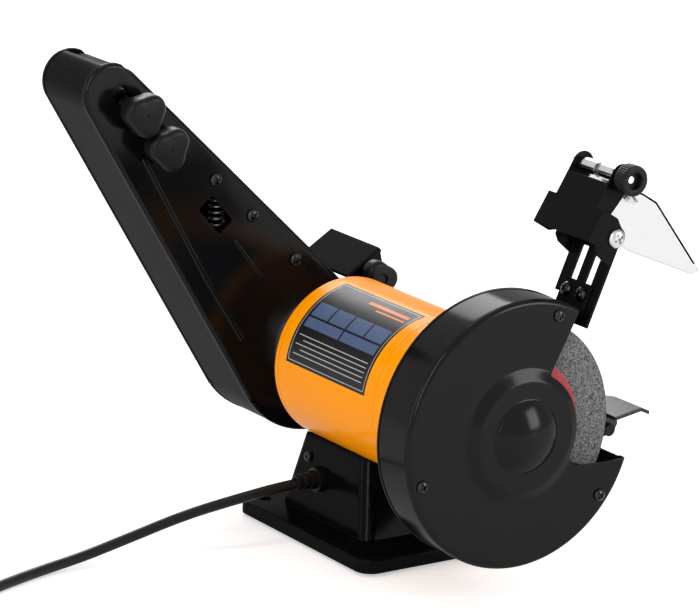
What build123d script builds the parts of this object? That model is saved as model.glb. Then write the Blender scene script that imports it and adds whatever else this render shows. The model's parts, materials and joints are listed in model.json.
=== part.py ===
from build123d import *
import os
from math import acos, asin, atan2, cos, degrees, hypot, pi, radians, sin, sqrt, tan

os.makedirs("parts", exist_ok=True)

# ---------------------------------------------------------------- driving sizes (mm)
axis_height = 112.8
through = 400  # longer than the machine, for cuts that run right through

# pressed-steel stand
flange_half_x = 80
flange_half_y = 61
flange_top = 11.5
flange_sheet = 2
flange_corner = 12
skirt_bottom = 2
bottom_sheet = 1.5
bench_hole_x = 66
bench_hole_y = 46
bench_hole_radius = 4.25
foot_radius = 9
foot_height = flange_top - flange_sheet - bottom_sheet
column_x = 7
column_foot_x = 53
column_foot_y = 39
column_top_x = 39
column_top_y = 30
saddle_depth = 8.5
column_sheet = 2
column_corner = 9
shoulder_radius = 5

# motor
motor_radius = 56
column_top_z = axis_height - motor_radius + saddle_depth
motor_left = -129.8
motor_right = 45.2
cap_rim = 6
shell_sheet = 1.5
shaft_seat = 8.48
bearing_bore = 8.52
bearing_radius = 20
bearing_width = 11
left_bearing = -121
right_bearing = 25
core_left = -77
core_right = -7
core_radius = motor_radius - shell_sheet - 0.3
stator_depth = 26.5
rotor_radius = motor_radius - stator_depth
rotor_bore = 11.05
air_gap = 0.8
tie_bolt_ring = motor_radius - 8.5
winding_inner = rotor_radius + 3.5
winding_outer = tie_bolt_ring - 3.5

# grinding wheel and its guard
wheel_radius = 75
wheel_front = -154.5
wheel_back = -134.5
wheel_bore = 6.4
spindle_thread = 6.0
spindle_seat = 6.3
label_paper = 0.6
label_radius = 49.7
clamp_flange_radius = 24
nut_flats = 19
nut_height = 7
spindle_end = -168
shoulder_x = -130.0
guard_sheet = 1.5
guard_gap = 13.7
guard_radius = wheel_radius + guard_gap
guard_back_radius = guard_radius + 0.6
cover_radius = guard_radius + 0.8
cover_edge = 3.5
cover_face = wheel_front - 10.4
guard_seam = cover_face + 7.4
guard_post_radius = 3.5
guard_post_ring = guard_radius - 8.2
guard_post_angles = (-16.2, 107.9, 218.0)
mouth_top_angle = 123.0
mouth_low_angle = 198.4
hub_disc_outer = 42.5
hub_disc_inner = 36.5
hub_disc_height = 3.5
dome_radius = 23
dome_groove = dome_radius + 1.1
dome_apex = cover_face - hub_disc_height - 9.1
wheel_centre_x = (wheel_front + wheel_back) / 2 - 0.3

# belt sander arm, leaning back from the vertical
arm_lean = 40.7
platen_lean = arm_lean + 5.7
arm_near_face = 78.7
arm_far_face = 137.8
arm_sheet = 1.5
arm_low_radius = 62
arm_top_radius = 20.3
arm_length = 252.5
arm_front = 44.3
pan_depth = 4.3
drive_radius = 44
idler_radius = 16
belt_gap = 0.3
belt_thickness = 1.0
belt_left = 83.2
belt_width = 50
platen_low = 43.6
platen_high = arm_length - 53.1
platen_flange_end = platen_high - 37.4
belt_inner_q = 45.37
platen_gap = 0.2
idler_p = arm_length - 7
idler_q = belt_inner_q - belt_gap - idler_radius
collar_radius = 28
axle_radius = 5

# spark deflector and eye shield
deflector_foot_ring = guard_radius - 8.82
deflector_foot_angle = 124.287
deflector_root = (deflector_foot_ring * cos(radians(deflector_foot_angle)),
                  deflector_foot_ring * sin(radians(deflector_foot_angle)))
deflector_lean = 23.18
deflector_up = (-sin(radians(deflector_lean)), cos(radians(deflector_lean)))
deflector_sheet = 2
deflector_half = 21.7
deflector_pivot = (9.1, 60.6)
bracket_root = (deflector_root[0] + 7.5, deflector_root[1] + 60.5)
bracket_lean = 31.5
bracket_up = (-sin(radians(bracket_lean)), cos(radians(bracket_lean)))
bracket_sheet = 1.5
bracket_half = 29.3
bracket_neck_half = 21.5
pivot_in_bracket = (11.0, 20.2)
pin_in_bracket = (47.7, 8.3)
shield_pin = (bracket_root[0] + pin_in_bracket[0] * bracket_up[0] - pin_in_bracket[1] * bracket_up[1],
              bracket_root[1] + pin_in_bracket[0] * bracket_up[1] + pin_in_bracket[1] * bracket_up[0])
shield_fall = 52.93
shield_down = (-cos(radians(shield_fall)), -sin(radians(shield_fall)))
shield_sheet = 1.6
shield_half = 45
shield_start = 11.6
shield_end = 84

# mains lead
cord_radius = 3.5
cord_exit = (17, 30, column_top_z - 27.5)

# clearances between separate pieces
slip = 0.2
screw_gap = 0.3
run_fit = 0.05

spindle_axis = Axis((0, 0, axis_height), (1, 0, 0))
turning = Plane(origin=(0, 0, axis_height), x_dir=(1, 0, 0), z_dir=(0, -1, 0))


# ---------------------------------------------------------------- planes and small shapes
def leaning(x, y, z, direction):
    """Plane facing +X through (x, y, z above the spindle) whose first direction is (y, z) given."""
    return Plane(origin=(x, y, axis_height + z), x_dir=(0, direction[0], direction[1]), z_dir=(1, 0, 0))


def across(x):
    """Plane facing +X at x with its origin on the spindle axis."""
    return leaning(x, 0, 0, (1, 0))


def arm_plane(x):
    return leaning(x, 0, 0, (sin(radians(arm_lean)), cos(radians(arm_lean))))


def platen_plane(x):
    return leaning(x, 0, 0, (sin(radians(platen_lean)), cos(radians(platen_lean))))


def deflector_plane(x):
    """First direction is square to the deflector sheet, second runs up the sheet."""
    return leaning(x, deflector_root[0], deflector_root[1], (deflector_up[1], -deflector_up[0]))


def bracket_plane(x):
    """First direction runs up the bracket sheet, second points to the front."""
    return leaning(x, bracket_root[0], bracket_root[1], bracket_up)


def shield_plane(x):
    """First direction runs down the eye shield, second is square to it."""
    return leaning(x, shield_pin[0], shield_pin[1], shield_down)


def polar(radius, angle):
    return (radius * cos(radians(angle)), radius * sin(radians(angle)))


def turn(points, mode=Mode.ADD):
    """Solid of revolution about the spindle axis from (x, radius) points."""
    with BuildSketch(turning) as profile:
        with BuildLine():
            Polyline(*points, close=True)
        make_face()
    revolve(profile.sketch, axis=spindle_axis, mode=mode)


def ring(x_from, x_to, outer, inner=0, mode=Mode.ADD):
    turn([(x_from, inner), (x_to, inner), (x_to, outer), (x_from, outer)], mode)


def rod(plane, radius, length, at=(0, 0), mode=Mode.ADD):
    with BuildSketch(plane) as disc:
        with Locations(at):
            Circle(radius)
    extrude(disc.sketch, amount=length, mode=mode)


def tube(plane, outer, inner, length, at=(0, 0)):
    with BuildSketch(plane) as disc:
        with Locations(at):
            Circle(outer)
            Circle(inner, mode=Mode.SUBTRACT)
    extrude(disc.sketch, amount=length)


def plate(plane, points, thickness, mode=Mode.ADD):
    with BuildSketch(plane) as outline:
        with BuildLine():
            Polyline(*points, close=True)
        make_face()
    extrude(outline.sketch, amount=thickness, mode=mode)


def hexagon(plane, flats, length, at=(0, 0), mode=Mode.ADD):
    with BuildSketch(plane) as outline:
        with Locations(at):
            RegularPolygon(flats / 2, 6, major_radius=False)
    extrude(outline.sketch, amount=length, mode=mode)


def slot(plane, start, end, width, depth, mode=Mode.SUBTRACT):
    """Rounded slot between two centre points."""
    middle = ((start[0] + end[0]) / 2, (start[1] + end[1]) / 2)
    angle = degrees(atan2(end[1] - start[1], end[0] - start[0]))
    with BuildSketch(plane) as outline:
        with Locations(middle):
            SlotCenterToCenter(hypot(end[0] - start[0], end[1] - start[1]), width, rotation=angle)
    extrude(outline.sketch, amount=depth, mode=mode)


def pan_screw(plane, head_radius, head_height, shank_radius, shank_length, at=(0, 0)):
    """Cross-recess screw: head along the plane's direction, shank the other way."""
    rod(plane, head_radius, head_height * 0.55, at)
    rod(plane.offset(head_height * 0.55), head_radius * 0.86, head_height * 0.45, at)
    rod(plane, shank_radius, -shank_length, at)
    with BuildSketch(plane.offset(head_height)) as cross:
        with Locations(at):
            Rectangle(head_radius * 1.1, head_radius * 0.26)
            Rectangle(head_radius * 0.26, head_radius * 1.1)
    extrude(cross.sketch, amount=-head_height * 0.5, mode=Mode.SUBTRACT)


def lobed_knob(plane, at, reach, thickness, turn_angle):
    """Three-lobed hand knob: broad rounded lobes with shallow hollows between them."""
    lobe_radius = reach * 0.46
    with BuildSketch(plane) as outline:
        with Locations(at):
            Circle(reach * 0.82)
            with PolarLocations(reach - lobe_radius, 3, start_angle=turn_angle):
                Circle(lobe_radius)
            with PolarLocations(reach * 1.72, 3, start_angle=turn_angle + 60):
                Circle(reach * 1.06, mode=Mode.SUBTRACT)
    extrude(outline.sketch, amount=thickness)


def save(builder, node):
    builder.part.label = node
    export_step(builder.part, "parts/" + node + ".step")
    print(node, len(builder.part.solids()), round(builder.part.volume))


# ---------------------------------------------------------------- stand
column_taper = (column_foot_y - column_top_y) / (column_top_z - flange_top)
face_tilt = atan2(column_foot_y - column_top_y, column_top_z - flange_top)


def face_y(z):
    """Half width of the column at height z."""
    return column_foot_y - (z - flange_top) * column_taper


def front_face(x, z):
    """Plane on the front wall, facing out, second direction up the wall."""
    return Plane(origin=(x, -face_y(z), z), x_dir=(1, 0, 0), z_dir=(0, -cos(face_tilt), sin(face_tilt)))


def back_face(x, z):
    return Plane(origin=(x, face_y(z), z), x_dir=(-1, 0, 0), z_dir=(0, cos(face_tilt), sin(face_tilt)))


switch_half_x = 10.5
switch_half_z = 15
switch_plane = front_face(column_x, (flange_top + column_top_z) / 2)
strain_hole = 6.4
clamp_screw_at = (33, column_top_z - 16.5)
plate_screw_x = 45
plate_screw_y = 50
flange_mark = (10.4 - flange_half_x, 12.7)

with BuildPart() as base_housing:
    with BuildSketch(Plane.XY.offset(skirt_bottom)):
        RectangleRounded(2 * flange_half_x, 2 * flange_half_y, flange_corner)
    extrude(amount=flange_top - skirt_bottom)
    fillet(base_housing.faces().sort_by(Axis.Z)[-1].edges(), 1.6)
    with BuildSketch(Plane.XY.offset(skirt_bottom)):
        inner_x = 2 * (flange_half_x - flange_sheet)
        inner_y = 2 * (flange_half_y - flange_sheet)
        RectangleRounded(inner_x, inner_y, flange_corner - flange_sheet)
    extrude(amount=flange_top - flange_sheet - skirt_bottom, mode=Mode.SUBTRACT)
    # column, drawn in towards the motor
    with BuildSketch(Plane.XY.offset(flange_top - flange_sheet)) as foot_outline:
        with Locations((column_x, 0)):
            RectangleRounded(2 * column_foot_x, 2 * column_foot_y, column_corner)
    with BuildSketch(Plane.XY.offset(column_top_z)) as top_outline:
        with Locations((column_x, 0)):
            RectangleRounded(2 * column_top_x, 2 * column_top_y, column_corner)
    loft()
    fillet(base_housing.faces().sort_by(Axis.Z)[-1].edges(), shoulder_radius)
    # hollow inside, leaving a curved saddle under the motor
    with BuildSketch(Plane.XY.offset(flange_top - flange_sheet), mode=Mode.PRIVATE) as inner_foot:
        with Locations((column_x, 0)):
            foot_x = 2 * (column_foot_x - column_sheet)
            foot_y = 2 * (column_foot_y - column_sheet)
            RectangleRounded(foot_x, foot_y, column_corner - column_sheet)
    with BuildSketch(Plane.XY.offset(column_top_z - column_sheet), mode=Mode.PRIVATE) as inner_top:
        with Locations((column_x, 0)):
            top_x = 2 * (column_top_x - column_sheet)
            top_y = 2 * (column_top_y - column_sheet)
            RectangleRounded(top_x, top_y, column_corner - column_sheet)
    hollow = loft([inner_foot.sketch.face(), inner_top.sketch.face()], mode=Mode.PRIVATE)
    saddle = Cylinder(motor_radius + screw_gap + column_sheet, through, rotation=(0, 90, 0), mode=Mode.PRIVATE)
    add(hollow - Pos(0, 0, axis_height) * saddle, mode=Mode.SUBTRACT)
    ring(-through / 2, through / 2, motor_radius + screw_gap, mode=Mode.SUBTRACT)
    # bench bolt holes and bottom-plate screw holes
    with BuildSketch(Plane.XY) as bench_holes:
        with GridLocations(2 * bench_hole_x, 2 * bench_hole_y, 2, 2):
            Circle(bench_hole_radius)
    extrude(amount=20, mode=Mode.SUBTRACT)
    with BuildSketch(Plane.XY) as screw_holes:
        with GridLocations(2 * plate_screw_x, 2 * plate_screw_y, 2, 2):
            Circle(2.2)
    extrude(amount=flange_top - 0.4, mode=Mode.SUBTRACT)
    rod(Plane.XY.offset(flange_top), 1.6, -5, flange_mark, Mode.SUBTRACT)
    # openings for the switch, the lead and the lead clamp screw
    with BuildSketch(switch_plane) as switch_hole:
        Rectangle(2 * (switch_half_x + slip), 2 * (switch_half_z + slip))
    extrude(amount=-8, mode=Mode.SUBTRACT)
    lead_plane = Plane(origin=(cord_exit[0], 25, cord_exit[2]), x_dir=(1, 0, 0), z_dir=(0, 1, 0))
    rod(lead_plane, strain_hole, 20, mode=Mode.SUBTRACT)
    rod(back_face(*clamp_screw_at), 2.3, -6, mode=Mode.SUBTRACT)
save(base_housing, "base_housing")

with BuildPart() as base_bottom_plate:
    with BuildSketch(Plane.XY.offset(foot_height)):
        plate_gap = flange_sheet + 0.5
        plate_x = 2 * (flange_half_x - plate_gap)
        RectangleRounded(plate_x, 2 * (flange_half_y - plate_gap), flange_corner - plate_gap)
        with GridLocations(2 * bench_hole_x, 2 * bench_hole_y, 2, 2):
            Circle(bench_hole_radius, mode=Mode.SUBTRACT)
        with GridLocations(2 * plate_screw_x, 2 * plate_screw_y, 2, 2):
            Circle(2.2, mode=Mode.SUBTRACT)
        with GridLocations(40, 14, 1, 3):
            SlotOverall(40, 4, mode=Mode.SUBTRACT)
    extrude(amount=bottom_sheet)
save(base_bottom_plate, "base_bottom_plate")

with BuildPart() as rubber_feet:
    with BuildSketch(Plane.XY):
        with GridLocations(2 * bench_hole_x, 2 * bench_hole_y, 2, 2):
            Circle(foot_radius)
            Circle(bench_hole_radius, mode=Mode.SUBTRACT)
    extrude(amount=foot_height)
    feet_edges = rubber_feet.faces().filter_by(Plane.XY).edges().filter_by(GeomType.CIRCLE)
    chamfer([e for e in feet_edges if e.radius > foot_radius - 0.1], 0.8)
save(rubber_feet, "rubber_feet")

with BuildPart() as stand_screws:
    under = Plane(origin=(0, 0, foot_height), x_dir=(1, 0, 0), z_dir=(0, 0, -1))
    for screw_x in (-plate_screw_x, plate_screw_x):
        for screw_y in (-plate_screw_y, plate_screw_y):
            pan_screw(under, 3.6, 2.2, 1.9, 3, (screw_x, screw_y))
    pan_screw(back_face(*clamp_screw_at), 3.6, 2.2, 1.9, 8)
save(stand_screws, "stand_screws")

# rocker switch on the front wall
rocker_gap = 0.6
rocker_half_x = 6.5
rocker_half_z = 11.5
rocker_pivot_depth = 1.5
rocker_tilt = 8

with BuildPart() as switch_housing:
    with BuildSketch(switch_plane):
        RectangleRounded(2 * switch_half_x + 4, 2 * switch_half_z + 4, 2)
    extrude(amount=2)
    with BuildSketch(switch_plane):
        Rectangle(2 * switch_half_x, 2 * switch_half_z)
    extrude(amount=-18)
    for terminal in (-8, 0, 8):
        plate(switch_plane.offset(-18), [(-3, terminal - 0.4), (3, terminal - 0.4),
                                         (3, terminal + 0.4), (-3, terminal + 0.4)], -6)
    with BuildSketch(switch_plane.offset(2)):
        Rectangle(2 * (rocker_half_x + rocker_gap), 2 * (rocker_half_z + rocker_gap))
    extrude(amount=-10, mode=Mode.SUBTRACT)
    rocker_axis = Plane(origin=switch_plane.from_local_coords((0, 0, -rocker_pivot_depth)),
                        x_dir=switch_plane.z_dir, z_dir=(1, 0, 0))
    rod(rocker_axis.offset(-9), 1.5 + run_fit, 18, mode=Mode.SUBTRACT)
save(switch_housing, "switch_housing")

with BuildPart() as switch_rocker:
    # switched off: the upper end stands out, the lower end is pressed in
    tip = rocker_half_z
    rise = tip * tan(radians(2 * rocker_tilt))
    out = 3.4
    with BuildSketch(rocker_axis.offset(-rocker_half_x)) as rocker_profile:
        with BuildLine():
            Polyline((-3.2, -7), (-3.2, 7), (out - 1.2, tip - 0.4), (out + rise * 0.6, tip - 1.3),
                     (out + 0.3, 0), (out, -tip + 0.9), (out - 2.2, -tip + 0.3), close=True)
        make_face()
    extrude(amount=2 * rocker_half_x)
    rod(rocker_axis.offset(-8.5), 1.5, 17)
save(switch_rocker, "switch_rocker")

# run capacitor lying on the bottom plate
cap_radius = 15
cap_y = 12
cap_z = foot_height + bottom_sheet + cap_radius + slip
with BuildPart() as run_capacitor:
    cap_plane = Plane(origin=(-22, cap_y, cap_z), x_dir=(0, 1, 0), z_dir=(1, 0, 0))
    rod(cap_plane, cap_radius, 60)
    fillet(run_capacitor.edges().filter_by(GeomType.CIRCLE), 1.5)
    rod(cap_plane.offset(60), 1.2, 6, (0, 5))
    rod(cap_plane.offset(60), 1.2, 6, (0, -5))
save(run_capacitor, "run_capacitor")

# lead bush with its flange against the sloping back wall
boot_plane = Plane(origin=(cord_exit[0], 0, cord_exit[2]), x_dir=(1, 0, 0), z_dir=(0, 1, 0))
with BuildPart() as strain_relief:
    rod(boot_plane.offset(30), 8.4, 9)
    split(bisect_by=back_face(0, cord_exit[2]), keep=Keep.TOP)
    rod(boot_plane.offset(27), strain_hole - 0.2, 14)
    with BuildSketch(Plane(origin=(cord_exit[0], 0, cord_exit[2]), x_dir=(0, 1, 0), z_dir=(1, 0, 0))):
        with BuildLine():
            Polyline((40, 0), (40, 6.4), (44, 5.9), (44, 5.3), (45.5, 5.3), (45.5, 5.7), (49, 5.2),
                     (49, 4.8), (50.5, 4.8), (50.5, 5.1), (54, 4.7), (54, 0), close=True)
        make_face()
    revolve(axis=Axis((cord_exit[0], 0, cord_exit[2]), (0, 1, 0)))
    rod(boot_plane.offset(20), cord_radius + run_fit, 60, mode=Mode.SUBTRACT)
save(strain_relief, "strain_relief")

# mains lead: out of the bush, down to the bench and away to a coil
coil_centre = (37, 348.6)
coil_turn = 41.5
floor = cord_radius + 0.1
lead_points = [cord_exit, (18.5, 58, 36.8), (22.5, 96, 31.5), (28.5, 133, 24.5), (34.2, 171, 13.5),
               (34.5, 208, 5.6), (29.5, 240, floor), (20, 268, floor), (7.8, 299, floor), (0, 328, floor)]
lead_runs = []
for a, b in zip(lead_points[:-1], lead_points[1:]):
    lead_runs.append(Vector(*b) - Vector(*a))
lead_radii = []
for a, b in zip(lead_runs[:-1], lead_runs[1:]):
    half_turn = radians(a.get_angle(b)) / 2
    lead_radii.append(0.45 * min(a.length, b.length) / tan(half_turn))
print("lead bend radii", [round(r) for r in lead_radii], "runs", [round(r.length) for r in lead_runs])

with BuildPart() as power_cord:
    with BuildLine() as lead_path:
        FilletPolyline(*lead_points, radius=lead_radii)
    with BuildSketch(Plane(origin=lead_path.line @ 0, z_dir=lead_path.line % 0)):
        Circle(cord_radius)
    sweep()
print("lead length", round(sum(e.length for e in lead_path.edges())), "volume over section",
      round(power_cord.part.volume / (pi * cord_radius ** 2)))
save(power_cord, "power_cord")

coil_half = 2 * cord_radius
with BuildPart() as power_cord_coil:
    with BuildSketch(Plane(origin=(coil_centre[0], coil_centre[1], 0), x_dir=(1, 0, 0), z_dir=(0, -1, 0))):
        with Locations((coil_turn - cord_radius, 3 * cord_radius + 0.1)):
            RectangleRounded(2 * coil_half, 6 * cord_radius, cord_radius - 0.1)
    revolve(axis=Axis((coil_centre[0], coil_centre[1], 0), (0, 0, 1)))
save(power_cord_coil, "power_cord_coil")

plug_z = 10.5
plug_y = coil_centre[1] + coil_turn
with BuildPart() as mains_plug:
    plug_start = Plane(origin=(coil_centre[0] + 14, plug_y, plug_z), x_dir=(0, 1, 0), z_dir=(1, 0, 0))
    with BuildSketch(plug_start):
        Circle(4.4)
    with BuildSketch(plug_start.offset(26)):
        Circle(6.5)
    loft()
    with BuildSketch(plug_start.offset(26)):
        RectangleRounded(18, 14, 4)
    with BuildSketch(plug_start.offset(42)):
        RectangleRounded(27, 20, 5)
    loft()
    with BuildSketch(plug_start.offset(42)):
        RectangleRounded(27, 20, 5)
    extrude(amount=22)
save(mains_plug, "mains_plug")

with BuildPart() as plug_pins:
    pin_plane = plug_start.offset(64)
    with BuildSketch(pin_plane):
        with Locations((-6.35, 2), (6.35, 2)):
            Rectangle(1.5, 6.3)
        with Locations((0, -5.5)):
            Circle(2.35)
    extrude(amount=17)
save(plug_pins, "plug_pins")

# ---------------------------------------------------------------- motor
with BuildPart() as motor_shell:
    shell_left = motor_left + cap_rim
    shell_right = motor_right - cap_rim
    ring(shell_left + 0.1, shell_right - 0.1, motor_radius, motor_radius - shell_sheet)
save(motor_shell, "motor_shell")

lip = motor_radius - shell_sheet - slip
with BuildPart() as left_end_shield:
    turn([(motor_left, 25.5), (motor_left, motor_radius - 1), (motor_left + 1, motor_radius),
          (shell_left, motor_radius), (shell_left, lip), (shell_left + 4, lip), (shell_left + 4, lip - 2.5),
          (motor_left + 3.5, lip - 2.5), (motor_left + 3.5, 25), (left_bearing + bearing_width, 25),
          (left_bearing + bearing_width, bearing_radius + 0.02), (left_bearing, bearing_radius + 0.02),
          (left_bearing, 11), (motor_left + 2, 11), (motor_left + 2, 25.5)])
    with BuildSketch(across(motor_left)) as shield_holes:
        with PolarLocations(40, 3, start_angle=30):
            Circle(2.2)
    extrude(amount=3.5, mode=Mode.SUBTRACT)
save(left_end_shield, "left_end_shield")

with BuildPart() as right_end_shield:
    bearing_end = right_bearing + bearing_width
    ring(shell_right, motor_right, motor_radius)
    fillet(right_end_shield.edges().sort_by(Axis.X)[-1:], 3.5)
    ring(shell_right - 4, shell_right, lip)
    ring(shell_right - 10, motor_right - 3.5, lip - 2.5, mode=Mode.SUBTRACT)
    ring(right_bearing, motor_right - 2, 25)
    ring(right_bearing - 1, bearing_end, bearing_radius + 0.02, mode=Mode.SUBTRACT)
    # round collar that the sander arm swings on
    ring(motor_right - 2, 72, collar_radius, collar_radius - 6)
    ring(bearing_end - 1, motor_right + 1, 11, mode=Mode.SUBTRACT)
    with BuildSketch(across(motor_right)) as tie_holes:
        with PolarLocations(tie_bolt_ring, 4, start_angle=20):
            Circle(2.7)
    extrude(amount=-8, mode=Mode.SUBTRACT)
save(right_end_shield, "right_end_shield")

with BuildPart() as motor_tie_bolts:
    for k in range(4):
        spot = polar(tie_bolt_ring, 20 + 90 * k)
        hexagon(across(motor_right), 8, 3.5, spot)
        rod(across(motor_right + 0.5), 2.4, -(motor_right + 0.5 - motor_left - 3.7), spot)
save(motor_tie_bolts, "motor_tie_bolts")

with BuildPart() as stator_core:
    ring(core_left, core_right, core_radius, rotor_radius + air_gap)
    with BuildSketch(across(core_left)) as lamination_cuts:
        with PolarLocations(tie_bolt_ring, 4, start_angle=20):
            Circle(2.7)
        with PolarLocations(rotor_radius + air_gap + 8, 24):
            Rectangle(13, 3.4)
    extrude(amount=core_right - core_left, mode=Mode.SUBTRACT)
save(stator_core, "stator_core")

with BuildPart() as stator_windings:
    for start, end in ((core_left - 20, core_left - 0.2), (core_right + 0.2, core_right + 20)):
        turn([(start + 3, winding_inner), (end, winding_inner), (end, winding_outer), (start + 3, winding_outer),
              (start, winding_outer - 3), (start, winding_inner + 3)]
             if start < core_left else
             [(start, winding_inner), (end - 3, winding_inner), (end, winding_inner + 3), (end, winding_outer - 3),
              (end - 3, winding_outer), (start, winding_outer)])
save(stator_windings, "stator_windings")

with BuildPart() as spindle_bearings:
    for start in (left_bearing, right_bearing):
        end = start + bearing_width
        turn([(start, bearing_bore), (end, bearing_bore), (end, 11.5), (end - 0.6, 11.8), (end - 0.6, 17),
              (end, 17.3), (end, bearing_radius), (start, bearing_radius), (start, 17.3), (start + 0.6, 17),
              (start + 0.6, 11.8), (start, 11.5)])
save(spindle_bearings, "spindle_bearings")

# ---------------------------------------------------------------- spindle group
drive_left = 82
drive_right = 134
drive_nut_x = 112
with BuildPart() as spindle_shaft:
    turn([(spindle_end, 0), (spindle_end, spindle_thread - 1), (spindle_end + 1, spindle_thread),
          (wheel_front + 0.5, spindle_thread), (wheel_front + 0.5, spindle_seat), (shoulder_x, spindle_seat),
          (shoulder_x, shaft_seat), (left_bearing + bearing_width, shaft_seat),
          (left_bearing + bearing_width, rotor_bore - 0.05), (right_bearing, rotor_bore - 0.05),
          (right_bearing, shaft_seat),
          (70, shaft_seat), (70, 7.95), (drive_nut_x, 7.95), (drive_nut_x, spindle_thread),
          (drive_nut_x + 11, spindle_thread), (drive_nut_x + 12, spindle_thread - 1), (drive_nut_x + 12, 0)])
save(spindle_shaft, "spindle_shaft")

with BuildPart() as rotor_core:
    ring(core_left, core_right, rotor_radius, rotor_bore)
    ring(core_left - 7, core_left, rotor_radius - 2.5, 17)
    ring(core_right, core_right + 7, rotor_radius - 2.5, 17)
save(rotor_core, "rotor_core")

with BuildPart() as wheel_flanges:
    inner_face = wheel_back + label_paper
    turn([(shoulder_x, spindle_seat + 0.1), (inner_face + 1, spindle_seat + 0.1), (inner_face + 1, 17),
          (inner_face, 17.5), (inner_face, clamp_flange_radius), (inner_face + 1.8, clamp_flange_radius),
          (shoulder_x, 16)])
    outer_face = wheel_front - label_paper
    turn([(outer_face - 4, spindle_thread + 0.1), (outer_face - 1, spindle_thread + 0.1),
          (outer_face - 1, 17), (outer_face, 17.5), (outer_face, clamp_flange_radius),
          (outer_face - 1.8, clamp_flange_radius), (outer_face - 4, 15)])
save(wheel_flanges, "wheel_flanges")

with BuildPart() as wheel_paper_labels:
    ring(wheel_front - label_paper, wheel_front, label_radius, 12)
    ring(wheel_back, wheel_back + label_paper, label_radius, 12)
save(wheel_paper_labels, "wheel_paper_labels")

with BuildPart() as grinding_wheel:
    turn([(wheel_front, wheel_bore), (wheel_back, wheel_bore), (wheel_back, wheel_radius - 0.8),
          (wheel_back - 0.8, wheel_radius), (wheel_front + 0.8, wheel_radius), (wheel_front, wheel_radius - 0.8)])
save(grinding_wheel, "grinding_wheel")

with BuildPart() as spindle_nuts:
    hexagon(across(wheel_front - label_paper - 4), nut_flats, -nut_height)
    hexagon(across(drive_nut_x + 0.3), nut_flats, nut_height)
    ring(spindle_end - 1, wheel_front, spindle_thread + 0.05, mode=Mode.SUBTRACT)
    ring(drive_nut_x - 1, drive_nut_x + 12, spindle_thread + 0.05, mode=Mode.SUBTRACT)
save(spindle_nuts, "spindle_nuts")

with BuildPart() as drive_wheel:
    turn([(drive_left + 8, 8.0), (drive_nut_x, 8.0), (drive_nut_x, 18), (drive_nut_x - 6, 19),
          (drive_nut_x - 6, 37), (drive_right, 38), (drive_right, drive_radius - 0.5),
          ((drive_left + drive_right) / 2, drive_radius), (drive_left, drive_radius - 0.5),
          (drive_left, 38), (drive_left + 16, 37), (drive_left + 16, 19), (drive_left + 8, 18)])
save(drive_wheel, "drive_wheel")

# ---------------------------------------------------------------- wheel guard
back_face_x = motor_left - guard_sheet
cover_seam = guard_seam - 0.2
post_spots = [polar(guard_post_ring, angle) for angle in guard_post_angles]
mount_ring = 40
rest_y = -(wheel_radius + 3)
rest_bolt_spots = ((rest_y + 3.5, -33.0), polar(guard_radius - 6.75, 227.37))
tab_half = 15
deflector_bolt_u = 19.5
deflector_bolt_x = 7.7
with BuildPart() as guard_housing:
    ring(back_face_x, motor_left, guard_back_radius, 25.5)
    ring(guard_seam, back_face_x, guard_radius, guard_radius - guard_sheet)
    # the mouth: the band stops short of a sector in front of the wheel
    with BuildSketch(across(guard_seam - 5)) as mouth:
        with BuildLine():
            inside = guard_radius - 28
            outside = guard_radius + 42
            Polyline(polar(inside, mouth_top_angle), polar(outside, mouth_top_angle), polar(outside + 20, 160),
                     polar(outside, mouth_low_angle), polar(inside, mouth_low_angle), close=True)
        make_face()
    extrude(amount=back_face_x - guard_seam + 5, mode=Mode.SUBTRACT)
    # posts that take the cover screws
    for spot in post_spots:
        rod(across(back_face_x), guard_post_radius, cover_face + 2 * guard_sheet - back_face_x, spot)
    for spot in post_spots:
        rod(across(cover_face), 1.9, 12, spot, Mode.SUBTRACT)
    # tab turned out from the end of the band
    tab_start = wheel_centre_x - tab_half
    plate(deflector_plane(tab_start), [(0, 6.5), (guard_sheet, 6.5), (guard_sheet, 27), (0, 27)], 2 * tab_half)
    for side in (-deflector_bolt_x, deflector_bolt_x):
        bolt_line = Plane(origin=(wheel_centre_x + side, deflector_root[0], axis_height + deflector_root[1]),
                          x_dir=(-1, 0, 0), z_dir=(0, deflector_up[1], -deflector_up[0]))
        rod(bolt_line.offset(-1), 3.1, 4, (0, deflector_bolt_u), Mode.SUBTRACT)
    # screw holes in the back
    with BuildSketch(across(back_face_x)) as back_holes:
        with PolarLocations(mount_ring, 3, start_angle=30):
            Circle(2.2)
        with Locations(*rest_bolt_spots):
            Circle(2.8)
    extrude(amount=guard_sheet, mode=Mode.SUBTRACT)
save(guard_housing, "guard_housing")


def dome_arc(edge, apex):
    """Arc of a sphere centred on the spindle axis, from an edge point to its apex."""
    depth = edge[0] - apex
    radius = (depth ** 2 + edge[1] ** 2) / (2 * depth)
    half = edge[1] / 2
    return ThreePointArc(edge, (apex + radius - sqrt(radius ** 2 - half ** 2), half), (apex, 0))


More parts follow.
